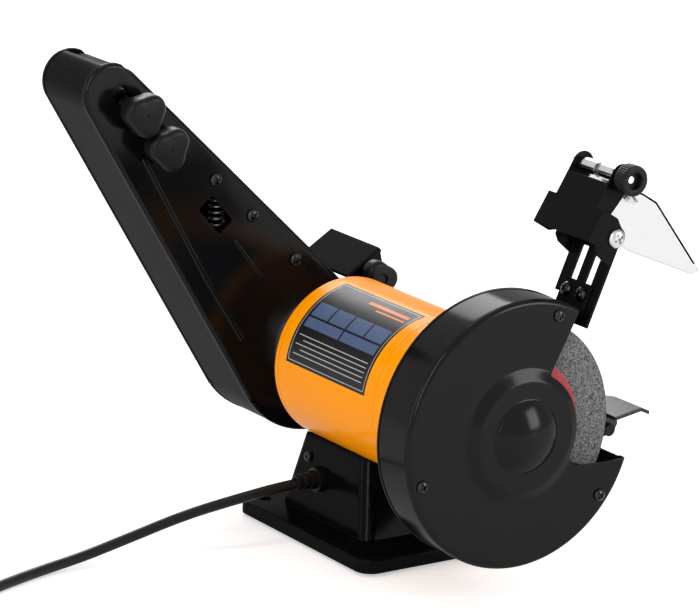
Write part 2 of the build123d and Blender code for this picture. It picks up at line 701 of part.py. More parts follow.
cover_opening_top = 118.0
cover_opening_low = 207.7
cover_opening_radius = hub_disc_outer - 0.5
with BuildPart() as guard_cover:
    # pressed shell: rounded rim, raised ring round the hub and a dome over the nut
    with BuildSketch(turning) as cover_profile:
        with BuildLine():
            crown = cover_face - hub_disc_height
            sheet = guard_sheet
            edge = cover_edge
            Polyline((cover_seam, cover_radius - sheet), (cover_seam, cover_radius),
                     (cover_face + edge, cover_radius))
            RadiusArc((cover_face + edge, cover_radius), (cover_face, cover_radius - edge), -edge)
            Polyline((cover_face, cover_radius - edge), (cover_face, hub_disc_outer), (crown, hub_disc_inner),
                     (crown, dome_groove), (crown - 1.8, dome_radius))
            dome_arc((crown - 1.8, dome_radius), dome_apex)
            Line((dome_apex, 0), (dome_apex + sheet, 0))
            dome_arc((crown - 0.4, dome_radius - 1.4), dome_apex + sheet)
            Polyline((crown - 0.4, dome_radius - 1.4), (crown + sheet, dome_groove - 1.3),
                     (crown + sheet, hub_disc_inner - 0.8), (cover_face + sheet, hub_disc_outer - 0.9),
                     (cover_face + sheet, cover_radius - edge))
            RadiusArc((cover_face + sheet, cover_radius - edge), (cover_face + edge, cover_radius - sheet),
                      edge - sheet)
            Line((cover_face + edge, cover_radius - sheet), (cover_seam, cover_radius - sheet))
        make_face()
    print("cover profile area", round(cover_profile.sketch.area, 1))
    revolve(axis=spindle_axis)
    # opening in front of the wheel
    with BuildSketch(across(dome_apex - 9)) as cover_opening:
        with BuildLine():
            low = polar(cover_opening_radius, cover_opening_low)
            top = polar(cover_opening_radius, cover_opening_top)
            middle = polar(cover_opening_radius, (cover_opening_low + cover_opening_top) / 2)
            ThreePointArc(top, middle, low)
            lip_y = low[0] - 11
            Polyline(low, (lip_y, -26.8), (lip_y - 18, -27.4), (-through, -27.7), (-through, through),
                     polar(through, cover_opening_top), top)
        make_face()
    extrude(amount=cover_seam - dome_apex + 10, mode=Mode.SUBTRACT)
    for spot in post_spots:
        rod(across(dome_apex - 9), 2.3, cover_seam - dome_apex + 10, spot, Mode.SUBTRACT)
save(guard_cover, "guard_cover")

facing_left = Plane(origin=(cover_face, 0, axis_height), x_dir=(0, -1, 0), z_dir=(-1, 0, 0))
with BuildPart() as guard_screws:
    for spot in post_spots:
        pan_screw(facing_left, 4.2, 2.6, 1.7, 9, (-spot[0], spot[1]))
    screw_plane = Plane(origin=(back_face_x, 0, axis_height), x_dir=(0, -1, 0), z_dir=(-1, 0, 0))
    for k in range(3):
        spot = polar(mount_ring, 30 + 120 * k)
        pan_screw(screw_plane, 4.2, 1.7, 1.9, 4.4, (-spot[0], spot[1]))
save(guard_screws, "guard_screws")

with BuildPart() as deflector_screws:
    for side in (-deflector_bolt_x, deflector_bolt_x):
        bolt_line = Plane(origin=(wheel_centre_x + side, deflector_root[0], axis_height + deflector_root[1]),
                          x_dir=(-1, 0, 0), z_dir=(0, deflector_up[1], -deflector_up[0]))
        at = (0, deflector_bolt_u)
        pan_screw(bolt_line.offset(guard_sheet + 0.1), 4.8, 3.2, 2.4, 8, at)
        hexagon(bolt_line.offset(-deflector_sheet - 0.3), 8, -3.5, at)
save(deflector_screws, "deflector_screws")

# ---------------------------------------------------------------- tool rest
rest_pin = (rest_y - 13.5, -17.0)
rest_left = -160
rest_right = -119
rest_flange_x = back_face_x - 1.0
with BuildPart() as rest_support_arm:
    foot = rest_bolt_spots[1]
    plate(across(motor_left), [(rest_y - 21, -12), (rest_y - 10, -11.6), (rest_y, -14),
                               (foot[0] + 5.5, foot[1] + 7.3), (foot[0] + 7, foot[1] - 0.7),
                               (foot[0] + 2.5, foot[1] - 6.7),
                               (foot[0] - 4.5, foot[1] - 5.7), (rest_y - 6, -30), (rest_y - 13, -23.5),
                               (rest_y - 21, -20.8)], 2.5)
    for spot in rest_bolt_spots:
        rod(across(motor_left), 2.8, 3, spot, Mode.SUBTRACT)
    slot(across(motor_left), (rest_pin[0] - 4.5, rest_pin[1] - 0.1), (rest_pin[0] + 2, rest_pin[1] + 0.4), 5.2, 3)
save(rest_support_arm, "rest_support_arm")

with BuildPart() as rest_support_bolts:
    for spot in rest_bolt_spots:
        hexagon(across(motor_left + 2.5), 8, 3.5, spot)
        rod(across(motor_left + 3), 2.5, -12.5, spot)
        hexagon(across(back_face_x - 0.1), 7.5, -3.2, spot)
save(rest_support_bolts, "rest_support_bolts")

with BuildPart() as tool_rest:
    sheet = 2.5
    bend_y = rest_y - 21.4
    plate(across(rest_left), [(rest_y, -0.2), (bend_y, 3.3), (bend_y - 6.6, 0.2), (bend_y - 6.6, -2.4),
                              (bend_y + 0.4, 0.7), (rest_y, -2.8)], rest_right - rest_left)
    # front corner taken off on the motor side
    plate(Plane.XY.offset(axis_height - 10), [(rest_right + 1, bend_y + 5.7), (rest_right + 1, bend_y - 8.6),
                                              (rest_right - 27, bend_y - 8.6), (rest_right - 25, bend_y - 6.7)],
          20, Mode.SUBTRACT)
    # notch that lets the top reach past the guard back
    plate(Plane.XY.offset(axis_height - 10), [(back_face_x - 1.1, rest_y - 13.3), (back_face_x - 1.1, rest_y + 8),
                                              (rest_right + 1, rest_y + 8), (rest_right + 1, rest_y - 13.3)],
          20, Mode.SUBTRACT)
    # downward leg beside the guard
    plate(across(back_face_x - 1.1), [(rest_y - 8, 0.9), (rest_y - 21.5, 2.0), (rest_y - 21.5, -14.5),
                                      (rest_y - 18.5, -20), (rest_y - 10, -22), (rest_y - 8, -20)], -sheet)
    rod(across(back_face_x - 8), 2.5 + run_fit, 10, rest_pin, Mode.SUBTRACT)
save(tool_rest, "tool_rest")

with BuildPart() as rest_knob:
    knob_start = motor_left + 2.7
    lobed_knob(across(knob_start + 3.5), rest_pin, 10.5, 10, 90)
    rod(across(knob_start), 5, 4, rest_pin)
    rod(across(knob_start + 6), 2.2, -(knob_start + 8 - back_face_x + 1.1 + sheet), rest_pin)
    rod(across(back_face_x - 1.1 - sheet - 0.1), 4.4, -2.6, rest_pin)
save(rest_knob, "rest_knob")

# ---------------------------------------------------------------- spark deflector
with BuildPart() as spark_deflector:
    left = wheel_centre_x - deflector_half
    ear = 2
    plate(deflector_plane(left), [(-deflector_sheet, 0), (0, 0), (0, 50), (-deflector_sheet, 50)],
          2 * deflector_half)
    plate(deflector_plane(left + ear + 0.5), [(-deflector_sheet, 49), (0, 49), (0, 56), (-deflector_sheet, 56)],
          2 * (deflector_half - ear - 0.5))
    for start in (left, left + 2 * deflector_half - ear):
        plate(deflector_plane(start), [(-deflector_sheet, 42), (0, 42), (12, 46), (16, 50), (17, 58), (9, 68),
                                       (1.5, 62), (-deflector_sheet, 58)], ear)
    # lower corner cleared for the guard back
    plate(deflector_plane(motor_left - guard_sheet - 0.6), [(-4, -1), (2, -1), (2, 16.5), (-4, 16.5)], 30,
          Mode.SUBTRACT)
    for side in (-deflector_bolt_x, deflector_bolt_x):
        slot_face = Plane(origin=(wheel_centre_x + side, deflector_root[0], axis_height + deflector_root[1]),
                          x_dir=(-1, 0, 0), z_dir=(0, deflector_up[1], -deflector_up[0]))
        plate(slot_face.offset(1), [(-3.5, 10), (3.5, 10), (3.5, 50), (-3.5, 50)], -5, Mode.SUBTRACT)
    rod(deflector_plane(left - 1), 3.1, 2 * deflector_half + 2, deflector_pivot, Mode.SUBTRACT)
save(spark_deflector, "spark_deflector")

# ---------------------------------------------------------------- eye shield bracket
with BuildPart() as shield_bracket:
    wide_left = wheel_centre_x - bracket_half
    neck_left = wheel_centre_x - bracket_neck_half
    plate(bracket_plane(wide_left), [(0, 0), (22.5, 0), (22.5, bracket_sheet), (0, bracket_sheet)],
          2 * bracket_half)
    plate(bracket_plane(neck_left), [(22, 0), (39.5, 0), (39.5, bracket_sheet), (22, bracket_sheet)],
          2 * bracket_neck_half)
    for start in (wide_left, wide_left + 2 * bracket_half - bracket_sheet):
        with BuildSketch(bracket_plane(start)) as flange_outline:
            with BuildLine():
                Polyline((0, 0), (22.5, 0), (22.5, 14.4), (pivot_in_bracket[0] + 7.3, pivot_in_bracket[1] + 1),
                         (pivot_in_bracket[0] - 7.3, pivot_in_bracket[1] + 1), (0, 14.4), close=True)
            make_face()
            with Locations(pivot_in_bracket):
                Circle(7.5)
        extrude(amount=bracket_sheet)
    for start in (neck_left, neck_left + 2 * bracket_neck_half - bracket_sheet):
        with BuildSketch(bracket_plane(start)) as ear_outline:
            with BuildLine():
                Polyline((22, 0), (39.5, 0), (pin_in_bracket[0] + 0.5, -0.2), (pin_in_bracket[0] + 0.5, 16.8),
                         (39.5, 16.8), (28, 15), (22, 14), close=True)
            make_face()
            with Locations(pin_in_bracket):
                Circle(8.5)
        extrude(amount=bracket_sheet)
    rod(bracket_plane(wide_left - 1), 3.1, 2 * bracket_half + 2, pivot_in_bracket, Mode.SUBTRACT)
    rod(bracket_plane(wide_left - 1), 2.7, 2 * bracket_half + 2, pin_in_bracket, Mode.SUBTRACT)
save(shield_bracket, "shield_bracket")

with BuildPart() as shield_pivot_screws:
    at = pivot_in_bracket
    for sign in (-1, 1):
        head_x = wheel_centre_x + sign * (bracket_half + 0.1)
        origin = bracket_plane(head_x).origin
        outward = Plane(origin=origin, x_dir=(0, bracket_up[0], bracket_up[1]), z_dir=(sign, 0, 0))
        spot = (at[0], sign * at[1])
        pan_screw(outward, 6.2, 3.4, 2.8, 16, spot)
        inside = bracket_sheet + 0.3
        tube(outward.offset(-inside - 5.6), 5, 3.0, 5.6, spot)
        tube(outward.offset(-13.6), 4.6, 2.9, 3.4, spot)
save(shield_pivot_screws, "shield_pivot_screws")

pin_left = wheel_centre_x - bracket_neck_half
pin_right = wheel_centre_x + bracket_neck_half
with BuildPart() as shield_hinge_bolt:
    rod(bracket_plane(pin_left - 9), 2.5, 2 * bracket_neck_half + 12, pin_in_bracket)
    hexagon(bracket_plane(pin_right + 0.8), 8, 4, pin_in_bracket)
    tube(bracket_plane(pin_right + 0.05), 6.5, 2.55, 0.9, pin_in_bracket)
save(shield_hinge_bolt, "shield_hinge_bolt")

with BuildPart() as shield_knob:
    knob_plane = bracket_plane(pin_left - 13.6)
    with BuildSketch(knob_plane) as knob_outline:
        with Locations(pin_in_bracket):
            Circle(10.3)
            with PolarLocations(10.3, 18):
                Circle(0.75, mode=Mode.SUBTRACT)
    extrude(amount=10)
    tube(bracket_plane(pin_left - 3.6), 6, 2.5 + 2 * run_fit, 3.4, pin_in_bracket)
    rod(knob_plane, 5.5, 4, pin_in_bracket, Mode.SUBTRACT)
    rod(knob_plane, 2.5 + 2 * run_fit, 14, pin_in_bracket, Mode.SUBTRACT)
save(shield_knob, "shield_knob")

# ---------------------------------------------------------------- eye shield
shield_face = Plane(origin=(wheel_centre_x, shield_pin[0], axis_height + shield_pin[1]), x_dir=(1, 0, 0),
                    z_dir=(0, -shield_down[1], shield_down[0]))
rivet_spots = ((-13, 19), (13, 19))
with BuildPart() as eye_shield:
    with BuildSketch(shield_face.offset(-shield_sheet / 2)) as pane:
        with BuildLine():
            Polyline((-34.4, shield_start), (34.4, shield_start), (shield_half, shield_start + 4.5),
                     (shield_half, shield_end - 6.4), (34.4, shield_end), (-34.4, shield_end),
                     (-shield_half, shield_end - 6.4), (-shield_half, shield_start + 4.5), close=True)
        make_face()
        with Locations(*rivet_spots):
            Circle(1.8, mode=Mode.SUBTRACT)
    extrude(amount=shield_sheet)
save(eye_shield, "eye_shield")

with BuildPart() as shield_clip:
    # two sleeves round the hinge bolt, each running into a strip either side of the pane
    sleeve_start = 2.2
    sleeve_length = 17.6
    for sleeve in (-sleeve_start - sleeve_length, sleeve_start):
        start = shield_plane(wheel_centre_x + sleeve)
        rod(start, 5.3, sleeve_length)
        plate(start, [(0, -shield_sheet / 2 - 1.1), (24, -shield_sheet / 2 - 1.1), (24, -shield_sheet / 2 - 0.1),
                      (0, -shield_sheet / 2 - 0.1)], sleeve_length)
        plate(start, [(0, shield_sheet / 2 + 0.1), (24, shield_sheet / 2 + 0.1), (24, shield_sheet / 2 + 1.1),
                      (0, shield_sheet / 2 + 1.1)], sleeve_length)
        rod(start, 2.6, sleeve_length, mode=Mode.SUBTRACT)
    for spot in rivet_spots:
        rod(shield_face.offset(-4), 1.6, 8, spot)
        rod(shield_face.offset(-4.4), 2.6, 2.2, spot)
        rod(shield_face.offset(2.2), 2.6, 2.2, spot)
save(shield_clip, "shield_clip")

with BuildPart() as shield_clamp:
    # split friction clamp at the middle of the hinge bolt
    rod(shield_plane(wheel_centre_x - 1.9), 4.2, 3.8)
    plate(shield_plane(wheel_centre_x - 1.9), [(0, -3.2), (11, -3.2), (11, 3.2), (0, 3.2)], 3.8)
    plate(shield_plane(wheel_centre_x - 4), [(1, -0.5), (12, -0.5), (12, 0.5), (1, 0.5)], 8, Mode.SUBTRACT)
    rod(shield_plane(wheel_centre_x - 4), 2.55, 8, mode=Mode.SUBTRACT)
save(shield_clamp, "shield_clamp")

# ---------------------------------------------------------------- sander arm
platen_shift = radians(platen_lean - arm_lean)


def to_arm(p, q):
    """Arm coordinates of a point given along and square to the platen."""
    return (p * cos(platen_shift) + q * sin(platen_shift), -p * sin(platen_shift) + q * cos(platen_shift))


def rear_tangent(radius_a, centre, radius_b):
    """Touching points of the rear line over two circles, the first one at the origin."""
    distance = hypot(*centre)
    angle = degrees(atan2(centre[1], centre[0]) - acos((radius_a - radius_b) / distance))
    a = polar(radius_a, angle)
    b = polar(radius_b, angle)
    return a, (centre[0] + b[0], centre[1] + b[1])


def front_touch(radius, point):
    """Touching point on a circle at the origin of the front line from a point outside it."""
    return polar(radius, degrees(atan2(point[1], point[0]) + acos(radius / hypot(*point))))


def arm_outline(plane, inset, front_inset=0):
    """Side outline of the arm: two rounded ends joined by lines, cut straight along the front."""
    low = arm_low_radius - inset
    top = arm_top_radius - inset
    a, b = rear_tangent(low, (arm_length, 0), top)
    with BuildSketch(plane) as outline:
        Circle(low)
        with Locations((arm_length, 0)):
            Circle(top)
        with BuildLine():
            Polyline(a, b, (b[0], -b[1]), (a[0], -a[1]), close=True)
        make_face()
        front = arm_front - front_inset
        with BuildLine():
            Polyline(to_arm(-through, front), to_arm(through, front), to_arm(through, through),
                     to_arm(-through, through), close=True)
        make_face(mode=Mode.SUBTRACT)
    return outline.sketch


def belt_loop(plane, out):
    """Outline of the belt path grown by a distance from the wheels."""
    drive = drive_radius + belt_gap + out
    idler = idler_radius + belt_gap + out
    level = belt_inner_q + out
    a, b = rear_tangent(drive, (idler_p, idler_q), idler)
    touch = front_touch(drive, (platen_low, level))
    with BuildSketch(plane) as outline:
        Circle(drive)
        with Locations((idler_p, idler_q)):
            Circle(idler)
        with BuildLine():
            Polyline(touch, (platen_low, level), (idler_p, idler_q + idler), b, a, close=True)
        make_face()
    return outline.sketch


arm_knob_x = 56.7
arm_knob_thick = 14
knob_reach = 15.1
tension_at = (arm_length - 50.4, 1.9)
tracking_at = (arm_length - 19.6, 4.0)
platen_screw_spots = ((arm_length - 103.2, 18.2), (108.5, 22.6), (59.0, 26.9))
spacer_spots = ((-43, -31), (25, -50.5), (75, -8), (arm_length - 77.5, -14))
spacer_radius = 3.5
idler_at = to_arm(idler_p, idler_q)
take_up = 8
window = (arm_length - 135, arm_length - 109.5, -4, 9.5)
carrier_foot = arm_length - 106.5
spring_foot = carrier_foot - 31.6
table_fixing_spots = ((-6, 38), (2, 38))
pan_end = arm_near_face + pan_depth
far_pan_end = arm_far_face - pan_depth

with BuildPart() as arm_inner_cover:
    extrude(arm_outline(arm_plane(arm_near_face), 0), amount=pan_depth)
    fillet(arm_inner_cover.faces().sort_by(Axis.X)[0].edges(), 3)
    cavity = arm_outline(arm_plane(arm_near_face + arm_sheet), arm_sheet, -5)
    extrude(cavity, amount=pan_depth, mode=Mode.SUBTRACT)
    rod(arm_plane(arm_near_face - 1), collar_radius - 6, 4, mode=Mode.SUBTRACT)
    middle = ((window[0] + window[1]) / 2, (window[2] + window[3]) / 2)
    with BuildSketch(arm_plane(arm_near_face - 1)) as window_outline:
        with Locations(middle):
            RectangleRounded(window[1] - window[0], window[3] - window[2], 2)
    extrude(amount=4, mode=Mode.SUBTRACT)
    for spot in platen_screw_spots:
        rod(arm_plane(arm_near_face - 1), 2.8, 4, spot, Mode.SUBTRACT)
    for spot in (tension_at, tracking_at):
        rod(arm_plane(arm_near_face - 1), 4.3, 4, spot, Mode.SUBTRACT)
    for spot in table_fixing_spots:
        rod(platen_plane(arm_near_face - 1), 2.3, 4, spot, Mode.SUBTRACT)
    slot(arm_plane(arm_near_face - 1), (idler_at[0] - take_up, idler_at[1]), (idler_at[0] + 1, idler_at[1]),
         2 * axle_radius + 1, 4)
    # shallow pressed steps in the face
    rib_top = arm_length - 52.8
    plate(arm_plane(arm_near_face - 0.6), [(rib_top, -9.8), (99.9, -29.3), (47.6, -36.6), (47.6, -40.2),
                                           (99.9, -32.9), (rib_top, -13.4)], 0.9)
    plate(arm_plane(arm_near_face - 0.6), [(104.5, 3.1), (70.4, 1.8), (70.4, -1.0), (104.5, 0.3)], 0.9)
    # folded lug that holds the foot of the tension spring
    plate(arm_plane(arm_near_face + 1), [(spring_foot - 3.9, -5), (spring_foot - 1.9, -5),
                                         (spring_foot - 1.9, 10), (spring_foot - 3.9, 10)], 21)
save(arm_inner_cover, "arm_inner_cover")

with BuildPart() as arm_back_wall:
    extrude(arm_outline(arm_plane(pan_end + slip), 0.5), amount=far_pan_end - pan_end - 2 * slip)
    extrude(arm_outline(arm_plane(pan_end), 0.5 + 1.2), amount=far_pan_end - pan_end, mode=Mode.SUBTRACT)
    # open along the whole front, and over the top as far as the belt needs
    plate(platen_plane(pan_end - 1), [(-through, arm_front - 8), (through, arm_front - 8), (through, through),
                                      (-through, through)], arm_far_face - arm_near_face, Mode.SUBTRACT)
    plate(arm_plane(pan_end - 1), [(arm_length + 3, 13), (arm_length + 30, 24), (arm_length + 10, 60),
                                   (arm_length - 60, 60), (arm_length - 60, 13)],
          arm_far_face - arm_near_face, Mode.SUBTRACT)
save(arm_back_wall, "arm_back_wall")

with BuildPart() as arm_outer_cover:
    extrude(arm_outline(arm_plane(far_pan_end), 0), amount=pan_depth)
    fillet(arm_outer_cover.faces().sort_by(Axis.X)[-1].edges(), 3)
    cavity = arm_outline(arm_plane(far_pan_end - 1), arm_sheet, -5)
    extrude(cavity, amount=pan_depth + 1 - arm_sheet, mode=Mode.SUBTRACT)
    # tubular posts reaching across to the other cover
    for spot in spacer_spots:
        start = arm_near_face + arm_sheet
        rod(arm_plane(start), spacer_radius, arm_far_face - start - 1, spot)
        rod(arm_plane(start - 1), 1.9, 14, spot, Mode.SUBTRACT)
save(arm_outer_cover, "arm_outer_cover")

with BuildPart() as arm_hub:
    ring(52, arm_near_face, collar_radius + 4, collar_radius + run_fit)
    # split ears drawn together by the clamp bolt, on the low side
    plate(arm_plane(54), [(-44, -8), (-29, -8), (-29, 8), (-44, 8)], 14)
    plate(arm_plane(53), [(-45, -1), (-28.2, -1), (-28.2, 1), (-45, 1)], 16, Mode.SUBTRACT)
    ring(50, arm_near_face, collar_radius + run_fit, mode=Mode.SUBTRACT)
    ring(74, arm_near_face, collar_radius + 5.5, collar_radius + 3)
    clamp_line = Plane(origin=arm_plane(61).from_local_coords((-38, 0, 0)), x_dir=(1, 0, 0),
                       z_dir=arm_plane(61).y_dir)
    rod(clamp_line.offset(-9), 3.3, 18, mode=Mode.SUBTRACT)
save(arm_hub, "arm_hub")

with BuildPart() as arm_clamp_bolt:
    hexagon(clamp_line.offset(8), 10, 4)
    rod(clamp_line.offset(9), 2.95, -24)
    hexagon(clamp_line.offset(-8), 10, -5)
save(arm_clamp_bolt, "arm_clamp_bolt")

platen_left = 80.5
platen_face_q = belt_inner_q - platen_gap
with BuildPart() as platen:
    plate(platen_plane(platen_left), [(platen_low, platen_face_q - 2), (platen_high, platen_face_q - 2),
                                      (platen_high, platen_face_q), (platen_low, platen_face_q)], belt_width + 1.5)
    plate(platen_plane(platen_left), [(platen_low, platen_face_q - 17), (platen_flange_end, platen_face_q - 17),
                                      (platen_flange_end, platen_face_q - 1), (platen_low, platen_face_q - 1)], 2.5)
    for spot in platen_screw_spots:
        rod(arm_plane(platen_left - 1), 2.8, 5, spot, Mode.SUBTRACT)
save(platen, "platen")

with BuildPart() as platen_screws:
    facing_motor = Plane(origin=(arm_near_face - 0.05, 0, axis_height), x_dir=(0, -arm_plane(0).x_dir.Y,
                         -arm_plane(0).x_dir.Z), z_dir=(-1, 0, 0))
    for spot in platen_screw_spots:
        at = (-spot[0], spot[1])
        pan_screw(facing_motor, 4.6, 2.8, 2.4, 9, at)
        hexagon(facing_motor.offset(-(platen_left + 2.5 - arm_near_face + 0.2)), 8, -3.2, at)
save(platen_screws, "platen_screws")

with BuildPart() as abrasive_belt:
    extrude(belt_loop(platen_plane(belt_left), belt_thickness), amount=belt_width)
    extrude(belt_loop(platen_plane(belt_left - 1), 0), amount=belt_width + 2, mode=Mode.SUBTRACT)
save(abrasive_belt, "abrasive_belt")

# sliding carrier of the idler roller
carrier_left = 80.5
idler_left = 84.5
idler_right = 132
with BuildPart() as idler_carrier:
    head = arm_length + 9.5
    plate(arm_plane(carrier_left), [(carrier_foot, -6.5), (head - 4, -6.5), (head, -2), (head, 11), (head - 5, 15.5),
                                    (head - 60, 15.5), (head - 66, 8.5), (carrier_foot, 8.5)], 2.4)
    plate(arm_plane(carrier_left), [(carrier_foot, -5), (carrier_foot + 2.3, -5), (carrier_foot + 2.3, 8.5),
                                    (carrier_foot, 8.5)], 20.5)
    for spot in (tension_at, tracking_at):
        slot(arm_plane(carrier_left - 1), spot, (spot[0] + take_up, spot[1]), 8.6, 5)
    # axle riveted into the plate, its end standing out through the slot in the cover
    rod(arm_plane(carrier_left + 1), axle_radius, idler_right - carrier_left - 1, idler_at)
    rod(arm_plane(carrier_left - 1.2), axle_radius - 1, 4, idler_at)
save(idler_carrier, "idler_carrier")

with BuildPart() as idler_roller:
    roller_plane = Plane(origin=arm_plane(0).from_local_coords((idler_at[0], idler_at[1], 0)), x_dir=(1, 0, 0),
                         z_dir=(0, -1, 0))
    with BuildSketch(roller_plane):
        with BuildLine():
            Polyline((idler_left, 11), (idler_left, idler_radius - 1.1), (idler_left + 1, idler_radius - 0.3))
            ThreePointArc((idler_left + 1, idler_radius - 0.3), ((idler_left + idler_right) / 2, idler_radius),
                          (idler_right - 1, idler_radius - 0.3))
            Polyline((idler_right - 1, idler_radius - 0.3), (idler_right, idler_radius - 1.1), (idler_right, 13.02),
                     (idler_right - 9, 13.02), (idler_right - 9, 11), (idler_left + 9, 11), (idler_left + 9, 13.02),
                     (idler_left, 13.02), (idler_left, 11))
        make_face()
    revolve(axis=Axis(roller_plane.origin, (1, 0, 0)))
    rod(arm_plane(idler_left - 1), 13.02, 2, idler_at, Mode.SUBTRACT)
save(idler_roller, "idler_roller")

with BuildPart() as idler_bearings:
    tube(arm_plane(idler_left + 0.8), 13, axle_radius + run_fit, 8, idler_at)
    tube(arm_plane(idler_right - 8.8), 13, axle_radius + run_fit, 8, idler_at)
save(idler_bearings, "idler_bearings")

with BuildPart() as tension_spring:
    spring_plane = Plane(origin=arm_plane(94).from_local_coords((spring_foot, 2.5, 0)), x_dir=(1, 0, 0),
                         z_dir=arm_plane(0).x_dir)
    with BuildLine(spring_plane) as coil_line:
        Helix(pitch=4.3, height=30, radius=5)
    with BuildSketch(Plane(origin=coil_line.line @ 0, z_dir=coil_line.line % 0)):
        Circle(0.9)
    sweep()
save(tension_spring, "tension_spring")

for node, spot, turned, reach in (("tension_knob", tension_at, 10, 17), ("tracking_knob", tracking_at, 55, 8.4)):
    with BuildPart() as arm_knob:
        lobed_knob(arm_plane(arm_knob_x), spot, knob_reach, arm_knob_thick, turned)
        rod(arm_plane(arm_knob_x + arm_knob_thick - 1), 6.5, 6, spot)
        rod(arm_plane(arm_knob_x + arm_knob_thick), 3.9, reach, spot)
        tube(arm_plane(arm_near_face - 2), 8, 3.85, 1.8, spot)
        rod(arm_plane(arm_knob_x - 0.1), 4.5, 1.6, spot, Mode.SUBTRACT)
    save(arm_knob, node)

# ---------------------------------------------------------------- belt table
table_right = 135
table_flange_x = 73.6
table_sheet = 3
table_tip = 14.4
knob_line = (1, 60.6)


def table_plane(x):
    """Origin on the clamp screw; second direction runs out along the table."""
    spot = platen_plane(x).from_local_coords((knob_line[0], knob_line[1], 0))
    lean = radians(platen_lean - table_tip)
    return Plane(origin=spot, x_dir=(0, sin(lean), cos(lean)), z_dir=(1, 0, 0))


with BuildPart() as belt_table:
    top = 12.5
    plate(table_plane(table_flange_x), [(top - table_sheet, -15.5), (top, -15.5), (top, 16), (top - table_sheet, 16)],
          table_right - table_flange_x)
    plate(table_plane(table_flange_x), [(-8, -12), (top, -15.5), (top, 16), (7, 14), (-8, 9)], 2.4)
    slot(table_plane(table_flange_x - 1), (0, 0), (0, -take_up), 6.6, 5)
    # rounded fold between the table and its flange
    fold = table_plane(table_flange_x).from_local_coords((top, 0, 0))
    fillet(belt_table.edges().sort_by(lambda e: (e.center() - fold).length)[0], 2.2)
save(belt_table, "belt_table")

with BuildPart() as table_bracket:
    plate(platen_plane(76.2), [(-10, 34.5), (5, 34.5), (5, 70.5), (2, 73.5), (-5, 73.5), (-10, 68.5)], 2.4)
    rod(platen_plane(75), 3.3, 5, knob_line, Mode.SUBTRACT)
    for spot in table_fixing_spots:
        rod(platen_plane(75), 2.3, 5, spot, Mode.SUBTRACT)
save(table_bracket, "table_bracket")

with BuildPart() as table_bracket_screws:
    platen_up = platen_plane(0).x_dir
    facing_motor = Plane(origin=(76.15, 0, axis_height), x_dir=(0, -platen_up.Y, -platen_up.Z), z_dir=(-1, 0, 0))
    for spot in table_fixing_spots:
        pan_screw(facing_motor, 3.6, 2.2, 2, 4.2, (-spot[0], spot[1]))
save(table_bracket_screws, "table_bracket_screws")

with BuildPart() as table_knob:
    lobed_knob(platen_plane(58.5), knob_line, 14, 11, 20)
    rod(platen_plane(69), 6.3, 4.5, knob_line)
    rod(platen_plane(69), 3, 11.4, knob_line)
    hexagon(platen_plane(78.8), 10, 3.5, knob_line)
save(table_knob, "table_knob")
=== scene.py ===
import json
import math
import bpy
import bmesh
from mathutils import Matrix, Vector


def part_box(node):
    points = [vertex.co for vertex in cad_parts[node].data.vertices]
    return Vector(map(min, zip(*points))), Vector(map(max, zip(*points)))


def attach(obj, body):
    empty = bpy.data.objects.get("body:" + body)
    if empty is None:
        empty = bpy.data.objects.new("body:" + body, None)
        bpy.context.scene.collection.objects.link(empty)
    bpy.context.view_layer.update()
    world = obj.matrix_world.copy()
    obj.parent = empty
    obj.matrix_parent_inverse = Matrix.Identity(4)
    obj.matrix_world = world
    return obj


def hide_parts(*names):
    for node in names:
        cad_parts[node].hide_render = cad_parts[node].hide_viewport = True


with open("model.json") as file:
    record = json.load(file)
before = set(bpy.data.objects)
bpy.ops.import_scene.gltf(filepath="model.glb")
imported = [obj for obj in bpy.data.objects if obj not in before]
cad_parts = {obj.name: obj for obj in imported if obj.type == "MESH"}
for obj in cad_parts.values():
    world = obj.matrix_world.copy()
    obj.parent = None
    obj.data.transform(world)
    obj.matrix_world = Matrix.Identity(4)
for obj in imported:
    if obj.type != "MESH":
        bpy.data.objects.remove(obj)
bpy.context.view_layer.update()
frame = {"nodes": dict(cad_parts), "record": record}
scene = bpy.context.scene
nodes = frame["nodes"]
record = frame["record"]

# camera on the wheel side, behind the machine and a little above it
cameraView = {"azimuth": 235.99, "elevation": 15.28, "roll": 1.69, "distance": 2.695,
              "target": (0.035, 0.0, 0.15163), "lens": 204.6857, "sensor": 36,
              "shift": (-0.002857, -0.002286), "clip": 20}


def placed(name, data):
    piece = bpy.data.objects.new(name, data)
    scene.collection.objects.link(piece)
    return piece


def makeCamera():
    azimuth = math.radians(cameraView["azimuth"])
    elevation = math.radians(cameraView["elevation"])
    roll = math.radians(cameraView["roll"])
    back = Vector((math.sin(azimuth) * math.cos(elevation), -math.cos(azimuth) * math.cos(elevation),
                   math.sin(elevation)))
    side = (-back).cross(Vector((0, 0, 1))).normalized()
    over = back.cross(side)
    right = side * math.cos(roll) + over * math.sin(roll)
    upward = over * math.cos(roll) - side * math.sin(roll)
    data = bpy.data.cameras.new("viewCamera")
    data.sensor_width = cameraView["sensor"]
    data.lens = cameraView["lens"]
    data.shift_x, data.shift_y = cameraView["shift"]
    data.clip_end = cameraView["clip"]
    camera = placed("viewCamera", data)
    place = Vector(cameraView["target"]) + back * cameraView["distance"]
    camera.matrix_world = Matrix(((right.x, upward.x, back.x, place.x),
                                  (right.y, upward.y, back.y, place.y),
                                  (right.z, upward.z, back.z, place.z), (0, 0, 0, 1)))
    scene.camera = camera


makeCamera()
print("camera set")

axisHeight = 112.8  # spindle above the bench, in millimetres
millimetre = 0.001
perMetre = 1 / millimetre


# ---- shader helpers
def newMaterial(name):
    material = bpy.data.materials.new(name)
    material.use_nodes = True
    return material, material.node_tree, material.node_tree.nodes["Principled BSDF"]


